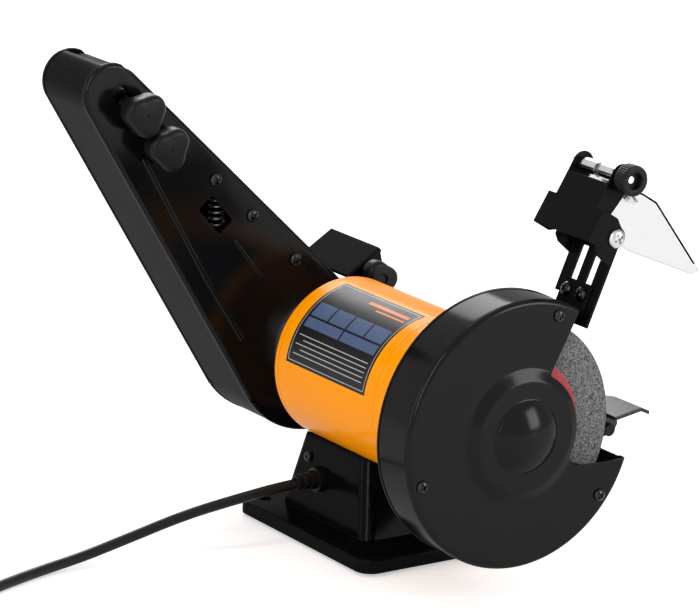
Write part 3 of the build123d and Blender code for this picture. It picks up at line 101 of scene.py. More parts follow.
def addNode(tree, kind, **values):
    node = tree.nodes.new(kind)
    for key, value in values.items():
        if hasattr(node, key):
            setattr(node, key, value)
        else:
            node.inputs[key.replace("_", " ")].default_value = value
    return node


def newGroup(name, inputs, outputs):
    group = bpy.data.node_groups.new(name, "ShaderNodeTree")
    kind = "NodeSocketFloat"
    for label, default in inputs.items():
        socket = group.interface.new_socket(name=label, in_out="INPUT", socket_type=kind)
        socket.default_value = default
    for label in outputs:
        group.interface.new_socket(name=label, in_out="OUTPUT", socket_type=kind)
    return group, group.nodes.new("NodeGroupInput"), group.nodes.new("NodeGroupOutput")


def mathOf(tree, operation, *values, clamp=False):
    # values are sockets or plain numbers
    node = addNode(tree, "ShaderNodeMath", operation=operation, use_clamp=clamp)
    for socket, value in zip(node.inputs, values):
        if isinstance(value, float):
            socket.default_value = value
        else:
            tree.links.new(value, socket)
    return node.outputs[0]


def rangeOf(tree, source, low, high, start=0.0, end=1.0):
    # start to end of the source becomes low to high
    node = addNode(tree, "ShaderNodeMapRange", From_Min=start, From_Max=end, To_Min=low, To_Max=high)
    tree.links.new(source, node.inputs["Value"])
    return node.outputs[0]


def useGroup(tree, group, **values):
    return addNode(tree, "ShaderNodeGroup", node_tree=group, **values)


def mixColours(tree, mask, first, second):
    node = addNode(tree, "ShaderNodeMix", data_type="RGBA")
    tree.links.new(mask, node.inputs["Factor"])
    for socket, value in ((node.inputs[6], first), (node.inputs[7], second)):
        if isinstance(value, tuple):
            socket.default_value = value + (1,)
        else:
            tree.links.new(value, socket)
    return node.outputs[2]


def bumpFrom(tree, shader, height, strength, distance):
    node = addNode(tree, "ShaderNodeBump", Strength=strength, Distance=distance)
    tree.links.new(height, node.inputs["Height"])
    tree.links.new(node.outputs[0], shader.inputs["Normal"])


def makeMottleGroup():
    # slow change of tone and gloss over a surface, with fine texture on top
    group, given, out = newGroup("surfaceMottle", {"Scale": 40.0, "Fine Scale": 900.0, "Contrast": 1.0},
                                 ("Mask", "Height"))
    where = addNode(group, "ShaderNodeTexCoord")
    slow = addNode(group, "ShaderNodeTexNoise", Detail=3.0, Roughness=0.6)
    fine = addNode(group, "ShaderNodeTexNoise", Detail=2.0, Roughness=0.5)
    for noise, scale in ((slow, "Scale"), (fine, "Fine Scale")):
        group.links.new(where.outputs["Object"], noise.inputs["Vector"])
        group.links.new(given.outputs[scale], noise.inputs["Scale"])
    middle = 0.5
    centred = mathOf(group, "SUBTRACT", slow.outputs["Fac"], middle)
    scaled = mathOf(group, "MULTIPLY", centred, given.outputs["Contrast"])
    lifted = mathOf(group, "ADD", scaled, middle, clamp=True)
    group.links.new(lifted, out.inputs["Mask"])
    group.links.new(fine.outputs["Fac"], out.inputs["Height"])
    return group


def makeDustGroup():
    # thin dust and rub marks: more on faces that look up, broken up by noise
    group, given, out = newGroup("settledDust", {"Amount": 0.3, "Scale": 120.0}, ("Mask",))
    where = addNode(group, "ShaderNodeTexCoord")
    normal = addNode(group, "ShaderNodeNewGeometry")
    split = addNode(group, "ShaderNodeSeparateXYZ")
    group.links.new(normal.outputs["Normal"], split.inputs[0])
    noise = addNode(group, "ShaderNodeTexNoise", Detail=5.0, Roughness=0.7)
    group.links.new(where.outputs["Object"], noise.inputs["Vector"])
    group.links.new(given.outputs["Scale"], noise.inputs["Scale"])
    upward = rangeOf(group, split.outputs["Z"], 0.0, 1.0, start=0.2)
    spots = rangeOf(group, noise.outputs["Fac"], 0.0, 1.0, start=0.45, end=0.75)
    amount = mathOf(group, "MULTIPLY", mathOf(group, "MULTIPLY", upward, spots), given.outputs["Amount"])
    group.links.new(amount, out.inputs["Mask"])
    return group


def makeStreakGroup():
    # fine turned or drawn lines: noise stretched along one direction
    group, given, out = newGroup("toolStreaks", {"Along": 6.0, "Across": 900.0}, ("Mask",))
    where = addNode(group, "ShaderNodeTexCoord")
    split = addNode(group, "ShaderNodeSeparateXYZ")
    joined = addNode(group, "ShaderNodeCombineXYZ")
    group.links.new(where.outputs["Object"], split.inputs[0])
    for axis, amount in (("X", "Across"), ("Y", "Along"), ("Z", "Along")):
        factor = mathOf(group, "MULTIPLY", split.outputs[axis], given.outputs[amount])
        group.links.new(factor, joined.inputs[axis])
    noise = addNode(group, "ShaderNodeTexNoise", Scale=1.0, Detail=3.0, Roughness=0.6)
    group.links.new(joined.outputs[0], noise.inputs["Vector"])
    group.links.new(noise.outputs["Fac"], out.inputs["Mask"])
    return group


mottle = makeMottleGroup()
dust = makeDustGroup()
streaks = makeStreakGroup()
dustColour = (0.35, 0.34, 0.33)
reliefDepth = {"enamel": 0.0002, "metal": 0.0001, "moulded": 0.0002, "grit": 0.0009}


def toned(tree, shader, tone, colour, shade):
    # base colour that wanders between two near tones
    tree.links.new(mixColours(tree, tone.outputs["Mask"], shade, colour), shader.inputs["Base Color"])


def varied(tree, shader, socket, mask, value, spread):
    # an input that varies round a value, down and up by the spread's two factors
    tree.links.new(rangeOf(tree, mask, value * spread[0], value * spread[1]), shader.inputs[socket])


def enamel(name, colour, shade, coat, coatGloss, gloss=0.4, specular=0.0, dustAmount=0.015, peel=0.1):
    material, tree, shader = newMaterial(name)
    tone = useGroup(tree, mottle, Scale=22.0, Fine_Scale=700.0, Contrast=1.6)
    film = useGroup(tree, dust, Amount=dustAmount, Scale=240.0)
    base = mixColours(tree, tone.outputs["Mask"], shade, colour)
    dusty = mixColours(tree, film.outputs["Mask"], base, dustColour)
    tree.links.new(dusty, shader.inputs["Base Color"])
    varied(tree, shader, "Roughness", tone.outputs["Mask"], gloss, (0.8, 1.3))
    varied(tree, shader, "Coat Roughness", tone.outputs["Mask"], coatGloss, (0.8, 1.3))
    shader.inputs["Specular IOR Level"].default_value = specular
    shader.inputs["Coat Weight"].default_value = coat
    bumpFrom(tree, shader, tone.outputs["Height"], peel, reliefDepth["enamel"])
    return material


def metal(name, colour, shade, roughness, bump=0.15):
    material, tree, shader = newMaterial(name)
    lines = useGroup(tree, streaks, Along=6.0, Across=700.0)
    tone = useGroup(tree, mottle, Scale=60.0, Fine_Scale=1500.0, Contrast=1.5)
    toned(tree, shader, tone, colour, shade)
    shader.inputs["Metallic"].default_value = 1.0
    varied(tree, shader, "Roughness", lines.outputs["Mask"], roughness, (0.7, 1.4))
    bumpFrom(tree, shader, lines.outputs["Mask"], bump, reliefDepth["metal"])
    return material


def moulded(name, colour, shade, roughness, specular=0.5, grain=1400.0, bump=0.3):
    material, tree, shader = newMaterial(name)
    tone = useGroup(tree, mottle, Scale=50.0, Fine_Scale=grain, Contrast=1.4)
    toned(tree, shader, tone, colour, shade)
    varied(tree, shader, "Roughness", tone.outputs["Mask"], roughness, (0.85, 1.15))
    shader.inputs["Specular IOR Level"].default_value = specular
    bumpFrom(tree, shader, tone.outputs["Height"], bump, reliefDepth["moulded"])
    return material


def grit(name, colour, shade, scale, roughness, bump):
    # bonded grains: two sizes of cells and a cloud, each grain its own tone
    material, tree, shader = newMaterial(name)
    where = addNode(tree, "ShaderNodeTexCoord")
    cells = addNode(tree, "ShaderNodeTexVoronoi", Scale=scale)
    small = addNode(tree, "ShaderNodeTexVoronoi", Scale=scale * 2.3)
    cloud = addNode(tree, "ShaderNodeTexNoise", Scale=scale * 0.5, Detail=6.0, Roughness=0.75)
    for node in (cells, small, cloud):
        tree.links.new(where.outputs["Object"], node.inputs["Vector"])
    tones = addNode(tree, "ShaderNodeSeparateColor")
    tree.links.new(cells.outputs["Color"], tones.inputs[0])
    grains = addNode(tree, "ShaderNodeSeparateColor")
    tree.links.new(small.outputs["Color"], grains.inputs[0])
    cellShare = 0.8
    grainShare = rangeOf(tree, grains.outputs[1], -0.35, 0.55)
    blend = mathOf(tree, "MULTIPLY_ADD", tones.outputs[0], cellShare, grainShare)
    speckled = mixColours(tree, blend, shade, colour)
    clouded = mixColours(tree, rangeOf(tree, cloud.outputs["Fac"], 0.0, 0.55), speckled, shade)
    tree.links.new(clouded, shader.inputs["Base Color"])
    varied(tree, shader, "Roughness", cloud.outputs["Fac"], roughness, (0.8, 1.0))
    shader.inputs["Specular IOR Level"].default_value = 0.3
    rough = mathOf(tree, "ADD", small.outputs["Distance"], cloud.outputs["Fac"])
    bumpFrom(tree, shader, rough, bump, reliefDepth["grit"])
    return material


def clearSheet(name, colour, shade, bend, haze):
    material, tree, shader = newMaterial(name)
    tone = useGroup(tree, mottle, Scale=30.0, Fine_Scale=400.0, Contrast=1.0)
    toned(tree, shader, tone, colour, shade)
    shader.inputs["Transmission Weight"].default_value = 1.0
    shader.inputs["IOR"].default_value = bend
    tree.links.new(rangeOf(tree, tone.outputs["Mask"], 0.0, haze), shader.inputs["Roughness"])
    return material


# each finish with its colour, the darker shade that it wanders to, and its own values
printed = {"specular": 0.16, "grain": 2000.0, "bump": 0.05}
finishes = {
    "blackEnamel": (enamel, (0.0042, 0.0042, 0.0045), (0.0028, 0.0028, 0.0030),
                    {"coat": 0.27, "coatGloss": 0.15}),
    "orangeEnamel": (enamel, (0.98, 0.32, 0.001), (0.95, 0.295, 0.001),
                     {"coat": 0.11, "coatGloss": 0.07, "gloss": 0.34, "specular": 0.03,
                      "dustAmount": 0.006}),
    "standBlack": (enamel, (0.0028, 0.0028, 0.0030), (0.0018, 0.0018, 0.0020),
                   {"coat": 0.09, "coatGloss": 0.15, "dustAmount": 0.012}),
    "satinBlack": (enamel, (0.0034, 0.0034, 0.0036), (0.0022, 0.0022, 0.0024),
                   {"coat": 0.14, "coatGloss": 0.24, "peel": 0.25}),
    "restBlack": (enamel, (0.0055, 0.0055, 0.0058), (0.0038, 0.0038, 0.0040),
                  {"coat": 0.75, "coatGloss": 0.26, "peel": 0.25}),
    "zincSteel": (metal, (0.60, 0.60, 0.59), (0.45, 0.45, 0.44), {"roughness": 0.30}),
    "blackenedSteel": (metal, (0.036, 0.036, 0.037), (0.020, 0.020, 0.021),
                       {"roughness": 0.20, "bump": 0.05}),
    "chromeSteel": (metal, (0.62, 0.62, 0.63), (0.50, 0.50, 0.51), {"roughness": 0.12, "bump": 0.03}),
    "oiledSteel": (metal, (0.22, 0.22, 0.23), (0.13, 0.13, 0.14), {"roughness": 0.38}),
    "machinedAluminium": (metal, (0.72, 0.72, 0.73), (0.60, 0.60, 0.61), {"roughness": 0.32}),
    "copperWire": (metal, (0.70, 0.30, 0.14), (0.50, 0.18, 0.07), {"roughness": 0.35}),
    "wheelGrit": (grit, (0.41, 0.425, 0.41), (0.022, 0.025, 0.024),
                  {"scale": 1050.0, "roughness": 0.9, "bump": 0.9}),
    "beltGrit": (grit, (0.030, 0.029, 0.029), (0.006, 0.006, 0.006),
                 {"scale": 1800.0, "roughness": 0.85, "bump": 0.5}),
    "redPaper": (moulded, (0.40, 0.045, 0.055), (0.32, 0.03, 0.04),
                 {"roughness": 0.55, "specular": 0.3, "grain": 2500.0, "bump": 0.4}),
    "footRubber": (moulded, (0.020, 0.020, 0.020), (0.012, 0.012, 0.012),
                   {"roughness": 0.75, "specular": 0.2}),
    "leadSheath": (moulded, (0.012, 0.0115, 0.011), (0.008, 0.0075, 0.007),
                   {"roughness": 0.40, "specular": 0.16, "grain": 900.0, "bump": 0.2}),
    "blackNylon": (moulded, (0.0050, 0.0050, 0.0053), (0.0034, 0.0034, 0.0036),
                   {"roughness": 0.36, "specular": 0.13}),
    "redNylon": (moulded, (0.55, 0.02, 0.012), (0.42, 0.015, 0.01), {"roughness": 0.3}),
    "clearPane": (clearSheet, (0.635, 0.635, 0.635), (0.62, 0.62, 0.62), {"bend": 1.06, "haze": 0.02}),
    "plateInk": (moulded, (0.011, 0.010, 0.010), (0.007, 0.006, 0.006), {"roughness": 0.40, **printed}),
    "plateCells": (moulded, (0.078, 0.115, 0.205), (0.064, 0.095, 0.175), {"roughness": 0.38, **printed}),
    "plateLines": (moulded, (0.46, 0.46, 0.45), (0.40, 0.40, 0.39),
                   {**printed, "roughness": 0.40, "specular": 0.2}),
    "plateAccent": (moulded, (0.75, 0.18, 0.01), (0.66, 0.15, 0.008), {"roughness": 0.38, **printed}),
}
paints = {name: make(name, colour, shade, **look) for name, (make, colour, shade, look) in finishes.items()}
print("materials made:", len(paints))

slotPaint = {"gloss_black": "blackEnamel", "black_paint": "satinBlack", "orange_paint": "orangeEnamel",
             "rubber": "footRubber", "bright_steel": "zincSteel", "chrome": "chromeSteel",
             "dark_steel": "oiledSteel", "black_steel": "blackenedSteel", "aluminium": "machinedAluminium",
             "copper": "copperWire", "grey_wheel": "wheelGrit", "label_paper": "redPaper",
             "cord": "leadSheath", "black_plastic": "blackNylon", "red_plastic": "redNylon",
             "clear": "clearPane", "belt": "beltGrit"}
slotOf = {part["node"]: part["material_slot"] for part in record["subparts"]}
bodyOf = {name: body for body, names in record["behaviour"]["bodies"].items() for name in names}


def dress(mesh, paint, sharpFrom):
    # one finish all over, smooth except at edges sharper than the given angle
    mesh.materials.clear()
    mesh.materials.append(paints[paint])
    for face in mesh.polygons:
        face.use_smooth = True
    mesh.set_sharp_from_angle(angle=math.radians(sharpFrom))


def dressNodes():
    for name, slot in slotOf.items():
        dress(nodes[name].data, slotPaint[slot], 28)


dressNodes()
print("solid pieces dressed:", len(nodes))


# ---- frames for building pieces, sizes in millimetres until a mesh is made
def crossFrame(x, y=0.0, z=0.0, direction=(1.0, 0.0)):
    # looks along +X from a point given from the spindle axis; its first direction is (y, z)
    along = Vector((0, direction[0], direction[1])).normalized()
    return Matrix(((0, 0, 1, x), (along.y, -along.z, 0, y), (along.z, along.y, 0, z + axisHeight),
                   (0, 0, 0, 1)))


def leanFrame(x, lean):
    return crossFrame(x, direction=(math.sin(math.radians(lean)), math.cos(math.radians(lean))))


def facing(place, normal):
    # frame at a place whose third direction is the normal
    third = Vector(normal).normalized()
    first = Vector((0, 0, 1)).cross(third).normalized()
    second = third.cross(first)
    return Matrix(((first.x, second.x, third.x, place[0]), (first.y, second.y, third.y, place[1]),
                   (first.z, second.z, third.z, place[2]), (0, 0, 0, 1)))


def onCircle(radius, angle):
    return (radius * math.cos(math.radians(angle)), radius * math.sin(math.radians(angle)))


leans = {"arm": 40.7, "platen": 46.4}


# ---- mesh helpers
weld = {"built": 1e-7, "solid": 2e-6, "sliver": 1e-6}  # points nearer than this become one, in metres
flatAngle = 0.6  # faces that lean less than this many degrees from each other are one flat


def buildMesh(name, verts, faces, where=None):
    where = where or Matrix.Identity(4)
    mesh = bpy.data.meshes.new(name)
    mesh.from_pydata([(where @ Vector(v)) * millimetre for v in verts], [], faces)
    work = bmesh.new()
    work.from_mesh(mesh)
    bmesh.ops.remove_doubles(work, verts=work.verts, dist=weld["built"])
    bmesh.ops.recalc_face_normals(work, faces=work.faces)
    work.to_mesh(mesh)
    work.free()
    return placed(name, mesh)


def discard(piece):
    mesh = piece.data
    bpy.data.objects.remove(piece)
    bpy.data.meshes.remove(mesh)


def applied(piece):
    # the piece's mesh with its modifiers worked in
    graph = bpy.context.evaluated_depsgraph_get()
    mesh = bpy.data.meshes.new_from_object(piece.evaluated_get(graph))
    old = piece.data
    piece.modifiers.clear()
    piece.data = mesh
    bpy.data.meshes.remove(old)
    return piece


def cutWith(piece, tool):
    cutter = piece.modifiers.new("cut", "BOOLEAN")
    cutter.operation = "DIFFERENCE"
    cutter.object = tool
    applied(piece)
    discard(tool)
    return piece


def softenEdges(piece, width, segments, angle):
    bevel = piece.modifiers.new("edges", "BEVEL")
    bevel.width = width * millimetre
    bevel.segments = segments
    bevel.limit_method = "ANGLE"
    bevel.angle_limit = math.radians(angle)
    bevel.use_clamp_overlap = False
    bevel.miter_outer = "MITER_ARC"
    return applied(piece)


def settle(piece, paint, body, slot, *stands, angle=35):
    dress(piece.data, paint, angle)
    # flats keep their own normals and the rounded edges turn between them
    weigh = piece.modifiers.new("weigh", "WEIGHTED_NORMAL")
    weigh.keep_sharp = True
    weigh.weight = 90
    applied(piece)
    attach(piece, body)
    if stands:
        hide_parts(*stands)
    return piece


def standFor(piece, *names, angle=35, paint=None):
    # takes the body of the solids that it replaces, hides them, and uses their slot's finish if none is
    # given
    slot = slotOf[names[0]]
    return settle(piece, paint or slotPaint[slot], bodyOf[names[0]], slot, *names, angle=angle)


def softened(name, width, segments=2, angle=32, paint=None):
    # pressed or moulded piece on its solid's form, with its sharp edges rounded
    words = name.split("_")
    title = words[0] + "".join(word.capitalize() for word in words[1:])
    if title == name:
        title += "Form"
    work = bmesh.new()
    work.from_mesh(nodes[name].data)
    bmesh.ops.remove_doubles(work, verts=work.verts, dist=weld["solid"])
    bmesh.ops.dissolve_limit(work, angle_limit=math.radians(flatAngle), verts=work.verts, edges=work.edges)
    bmesh.ops.dissolve_degenerate(work, edges=work.edges, dist=weld["sliver"])
    bmesh.ops.connect_verts_concave(work, faces=work.faces)
    mesh = bpy.data.meshes.new(title)
    work.to_mesh(mesh)
    work.free()
    for layer in ("custom_normal", "sharp_edge", "sharp_face"):
        if mesh.attributes.get(layer):
            mesh.attributes.remove(mesh.attributes[layer])
    piece = placed(title, mesh)
    softenEdges(piece, width, segments, angle)
    return standFor(piece, name, angle=40, paint=paint)


def wall(row, after, count):
    # faces between two rows of points that run round in the same way
    row, after = row * count, after * count
    return [(row + k, row + (k + 1) % count, after + (k + 1) % count, after + k) for k in range(count)]


def ringStack(name, rings, where, closed=True):
    # skin over loops with equal numbers of points, ends capped when closed
    verts = [point for ring in rings for point in ring]
    count = len(rings[0])
    faces = []
    for level in range(len(rings) - 1):
        faces += wall(level, level + 1, count)
    if closed:
        faces.append(tuple(range(count)))
        faces.append(tuple(range(len(verts) - count, len(verts))))
    return buildMesh(name, verts, faces, where)


def lathe(name, profile, where, segments):
    # closed profile of (height, radius) turned about the frame's third direction
    rows = len(profile)
    verts = []
    for height, radius in profile:
        verts += [onCircle(radius, 360 * k / segments) + (height,) for k in range(segments)]
    faces = []
    for row in range(rows):
        after = (row + 1) % rows
        if profile[row][1] or profile[after][1]:
            faces += wall(row, after, segments)
    return buildMesh(name, verts, faces, where)


def arcPoints(radius, start, end, steps):
    return [onCircle(radius, start + (end - start) * k / steps) for k in range(steps + 1)]


def prism(name, outline, depth, where):
    count = len(outline)
    verts = [(a, b, 0) for a, b in outline] + [(a, b, depth) for a, b in outline]
    faces = [tuple(range(count)), tuple(range(count, 2 * count))] + wall(0, 1, count)
    return buildMesh(name, verts, faces, where)


def joinPieces(name, pieces):
    work = bmesh.new()
    for piece in pieces:
        work.from_mesh(piece.data)
    mesh = bpy.data.meshes.new(name)
    work.to_mesh(mesh)
    work.free()
    for piece in pieces:
        discard(piece)
    return placed(name, mesh)


# ---- fasteners
# dome of a screw head as shares of its height and radius, and its cross recess as shares of the same
screwDome = ((0, 0.94), (0.12, 1), (0.34, 0.985), (0.6, 0.88), (0.8, 0.7), (0.93, 0.45), (1, 0.15), (1, 0))
screwCross = {"arm": 0.56, "half": 0.13, "floor": 0.45, "reach": 1.2}


def crossScrew(where, screw, turned):
    # domed head with a cross recess, shank behind it
    radius, height = screw["radius"], screw["height"]
    profile = [(-screw["length"], 0), (-screw["length"], screw["shank"]), (-0.01, screw["shank"])]
    profile += [(height * up, radius * out) for up, out in screwDome]
    head = lathe("head", profile, where, 40)
    arm = radius * screwCross["arm"]
    half = radius * screwCross["half"]
    cross = []
    for quarter in range(4):
        angle = math.radians(90 * quarter + turned)
        for along, across in ((arm, -half), (arm, half), (half, half)):
            cross.append((along * math.cos(angle) - across * math.sin(angle),
                          along * math.sin(angle) + across * math.cos(angle)))
    inHead = where @ Matrix.Translation((0, 0, height * screwCross["floor"]))
    return cutWith(head, prism("crossTool", cross, height * screwCross["reach"], inHead))


def hexNut(where, flats, height):
    # corners turned off at both ends
    steps = 48
    chamfer = 0.6
    corner = flats / 2 / math.cos(math.radians(30))
    rings = []
    for level, shrink in ((0, chamfer), (chamfer * 0.6, 0), (height - chamfer * 0.6, 0), (height, chamfer)):
        ring = []
        for k in range(steps):
            angle = 360 * k / steps
            flat = flats / 2 / math.cos(math.radians(angle % 60 - 30))
            ring.append(onCircle(min(flat, corner - shrink), angle) + (level,))
        rings.append(ring)
    return ringStack("nut", rings, where)


def collar(where, low, high, bore, radius, edge, segments=40):
    return lathe("collar", [(low, bore), (low, radius - edge), (low + edge, radius), (high - edge, radius),
                            (high, radius - edge), (high, bore)], where, segments)


# ---- motor
motor = {"radius": 56.0, "left": -129.8, "right": 45.2, "rim": 6.0, "sheet": 1.5, "seam": -75.0,
         "shellEdge": ((0.15, 0.4), (0.5, 0.05), (1.2, 0)),
         "groove": ((-0.35, 0), (-0.1, 0.45), (0.1, 0.45), (0.35, 0)),
         "mouth": 25.5, "seatWall": 25, "seat": 20.05, "hole": 11, "lip": 1.8, "lining": 4.2}


def makeMotor():
    left = motor["left"] + motor["rim"]
    right = motor["right"] - motor["rim"]
    radius = motor["radius"]
    gap = motor["shellEdge"][0][0]
    inner = radius - motor["sheet"]
    profile = [(left + gap, inner)]
    profile += [(left + along, radius - drop) for along, drop in motor["shellEdge"]]
    profile += [(motor["seam"] + along, radius - drop) for along, drop in motor["groove"]]
    profile += [(right - along, radius - drop) for along, drop in motor["shellEdge"][::-1]]
    profile += [(right - gap, inner)]
    standFor(lathe("motorShell", profile, crossFrame(0), 192), "motor_shell")
    start = motor["left"]
    mouth, seatWall, seat, hole = motor["mouth"], motor["seatWall"], motor["seat"], motor["hole"]
    lip = radius - motor["lip"]
    lining = radius - motor["lining"]
    # outside of the end shield, then its lip in the shell, its inside and the seat of the bearing
    profile = [(start, mouth), (start, radius - 1.6), (start + 0.6, radius - 0.4), (start + 1.6, radius),
               (left - 0.5, radius), (left, radius - 0.4), (left, lip), (left + 4, lip), (left + 4, lining),
               (start + 3.5, lining), (start + 3.5, seatWall), (left + 13.8, seatWall), (left + 13.8, seat),
               (start + 8.8, seat), (start + 8.8, hole), (start + 2, hole), (start + 2, mouth)]
    standFor(lathe("leftCap", profile, crossFrame(0), 192), "left_end_shield")


# plate round the shell: cells, rules and strips with no wording; a row of cells is how many,
# pitch, width, first and last degree under the plate's top
plate = {"left": -64.2, "right": 29.9, "high": 8.6, "low": 82.0, "rise": 0.08, "ink": 0.03,
         "rows": ((4, 21.3, 19.6, 25, 37), (2, 42.6, 40.9, 38.5, 46)), "rowInset": 5,
         "border": (2, 2.5), "lines": 5, "linePitch": 3.4, "lineFrom": 52, "lineTo": 52.6,
         "inset": 6, "shorter": 7, "strips": ((52, 8, 11), (38, 13.5, 15))}


def curvedPatch(left, right, high, low, rise):
    # piece of thin sheet on the shell; angles run from the top towards the back
    steps = 24
    radius = motor["radius"] + rise
    verts = []
    for x in (left, right):
        for inner in (0.0, rise + 0.02):
            for k in range(steps + 1):
                angle = math.radians(high + (low - high) * k / steps)
                verts.append((x, (radius - inner) * math.sin(angle),
                              (radius - inner) * math.cos(angle) + axisHeight))
    row = steps + 1
    corners = (0, row, 3 * row, 2 * row)
    faces = [corners, tuple(steps + corner for corner in corners)]
    for k in range(steps):
        for a, b in zip(corners, corners[1:] + corners[:1]):
            faces.append((a + k, a + k + 1, b + k + 1, b + k))
    return buildMesh("patch", verts, faces)


def makePlate():
    left, right = plate["left"], plate["right"]
    high, low = plate["high"], plate["low"]
    printed = plate["rise"] + plate["ink"]
    ground = [curvedPatch(left, right, high, low, plate["rise"])]
    cells = []
    for count, pitch, width, top, bottom in plate["rows"]:
        for k in range(count):
            start = left + plate["rowInset"] + k * pitch
            cells.append(curvedPatch(start, start + width, high + top, high + bottom, printed))
    outer, inner = plate["border"]
    rules = [curvedPatch(left + outer, right - outer, high + outer, high + inner, printed),
             curvedPatch(left + outer, right - outer, low - inner, low - outer, printed),
             curvedPatch(left + outer, left + inner, high + outer, low - outer, printed),
             curvedPatch(right - inner, right - outer, high + outer, low - outer, printed)]
    inset = plate["inset"]
    for k in range(plate["lines"]):
        down = plate["linePitch"] * k
        end = right - inset - plate["shorter"] * (k % 2)
        rules.append(curvedPatch(left + inset, end, high + plate["lineFrom"] + down,
                                 high + plate["lineTo"] + down, printed))
    strips = [curvedPatch(left + inset, left + reach, high + top, high + bottom, printed)
              for reach, top, bottom in plate["strips"]]
    for name, paint, parts in (("ratingPlate", "plateInk", ground), ("plateCells", "plateCells", cells),
                               ("plateLines", "plateLines", rules), ("plateAccent", "plateAccent", strips)):
        settle(joinPieces(name, parts), paint, "stand", "label_paper")


makeMotor()
makePlate()
print("motor made")

# ---- round guard and its pressed cover
guard = {"radius": 89.5, "sheet": 1.5, "seam": -157.7, "face": -164.9, "edge": 3.5, "back": -131.3,
         "crown": 3.5, "domeFoot": 5.3, "domeRadius": 23.0, "apex": -177.5, "postRing": 80.5,
         "postHole": 2.2, "openingRadius": 42.0, "openingTop": 118.0, "openingLow": 207.7,
         "trimRadius": 80.5, "trimTop": 127, "trimLow": 172}
# angle of each post with the turn of its screw's recess
guardScrews = {"posts": ((-16.2, 20), (107.9, 65), (218.0, 40)), "sink": 0.02,
               "front": {"radius": 4.2, "height": 2.6, "shank": 1.7, "length": 9},
               "backRing": 40, "backSpots": ((30, 15), (150, 45), (270, 75)),
               "rear": {"radius": 4.2, "height": 1.7, "shank": 1.9, "length": 4.4}}


def domeHeight(radius):
    depth = guard["face"] - guard["domeFoot"] - guard["apex"]
    ball = (depth ** 2 + guard["domeRadius"] ** 2) / (2 * depth)
    return guard["apex"] + ball - math.sqrt(ball ** 2 - radius ** 2)


def makeGuardCover():
    sheet = guard["sheet"]
    radius = guard["radius"]
    face = guard["face"]
    crown = face - guard["crown"]
    edge = guard["edge"]
    skin = [(guard["seam"], radius - 0.3), (guard["seam"] - 0.3, radius)]
    for a in range(0, 91, 10):
        across = onCircle(edge, 90 - a)
        skin.append((face + edge - across[0], radius - edge + across[1]))
    # eased steps into the raised ring, a flat land, a small step and the dome
    skin += [(face, 70), (face, 55), (face, 46.2), (face - 0.25, 44.4), (face - 0.9, 42.6),
             (crown + 0.8, 38.3), (crown + 0.2, 36.9), (crown, 35.4), (crown, 29.0), (crown - 0.05, 25.4),
             (crown - 0.4, 24.4), (crown - 1.3, 23.5)]
    skin += [(domeHeight(r), r) for r in (22.6, 21.5, 20, 18, 15.5, 13, 10, 7, 4, 1.5, 0)]
    lining = [(guard["seam"], radius - sheet), (face + edge, radius - sheet),
              (face + sheet + 0.6, radius - sheet - 0.6), (face + sheet, radius - edge),
              (face + sheet, 44.0), (face + sheet - 0.7, 41.9), (crown + sheet + 0.5, 37.0),
              (crown + sheet, 35.2), (crown + sheet, 23.0), (crown - 0.2, 21.6)]
    lining += [(domeHeight(r) + sheet, r) for r in (20, 15, 10, 5, 0)]
    cover = lathe("guardCover", skin + lining[::-1], crossFrame(0), 256)
    # opening in front of the wheel: an arc round the nut, a lower flank and an upper one
    low = onCircle(guard["openingRadius"], guard["openingLow"])
    clear = 130
    opening = arcPoints(guard["openingRadius"], guard["openingTop"], guard["openingLow"], 48)
    opening += [(low[0] - 2.5, low[1] - 3.6), (low[0] - 6, low[1] - 6.2), (low[0] - 11, -26.8),
                (low[0] - 18, -27.2), (low[0] - 29, -27.5), (-clear, -27.7), (-clear, 120),
                onCircle(clear, guard["openingTop"])]
    cutWith(cover, prism("openingTool", opening, 40, crossFrame(-190)))
    hole = guard["postHole"]
    drill = [(0, 0), (0, hole), (30, hole), (30, 0)]
    for post in guardScrews["posts"]:
        spot = onCircle(guard["postRing"], post[0])
        cutWith(cover, lathe("holeTool", drill, crossFrame(-180, *spot), 24))
    softenEdges(cover, 0.25, 2, 50)
    standFor(cover, "guard_cover", angle=30)


def makeGuardScrews():
    heads = []
    for level, ring, spots, screw in (
            (guard["face"], guard["postRing"], guardScrews["posts"], guardScrews["front"]),
            (guard["back"], guardScrews["backRing"], guardScrews["backSpots"], guardScrews["rear"])):
        for angle, turned in spots:
            spot = onCircle(ring, angle)
            where = facing((level - guardScrews["sink"], spot[0], spot[1] + axisHeight), (-1, 0, 0))
            heads.append(crossScrew(where, screw, turned))
    standFor(joinPieces("guardScrews", heads), "guard_screws")


makeGuardCover()
makeGuardScrews()
housing = softened("guard_housing", 0.22, angle=40)
trim = arcPoints(guard["trimRadius"], guard["trimTop"], guard["trimLow"], 30)
trim += [onCircle(120, guard["trimLow"]), onCircle(125, 150), onCircle(120, guard["trimTop"])]
cutWith(housing, prism("trimTool", trim, 6, crossFrame(guard["back"] - 2)))
print("guard made")


# ---- hand knobs
armKnob = {"x": 56.7, "reach": 15.5, "thick": 14, "hub": 6.5, "hubLength": 19.0, "stem": 3.9, "recess": 0.5}
armKnobs = {"tension": {"spot": (202.1, 1.9, 0), "turned": 86, "stemLength": 31.0},
            "tracking": {"spot": (232.9, 4.0, 0), "turned": 90, "stemLength": 22.4}}
tableKnob = {"x": 58.5, "spot": (1.0, 60.6, 0), "turned": 20, "reach": 14, "thick": 11, "hub": 6.3,
             "hubLength": 15.0, "stem": 3.0, "stemLength": 21.9, "recess": 4.0, "nut": (10, 3.4),
             "nutHeight": 20.35}
restKnob = {"place": (-123.6, -91.5, -17), "turned": -90, "reach": 10.5, "thick": 10, "hub": 5.0,
            "hubLength": 13.4, "stem": 2.2, "stemLength": 22.0, "recess": 3.0}
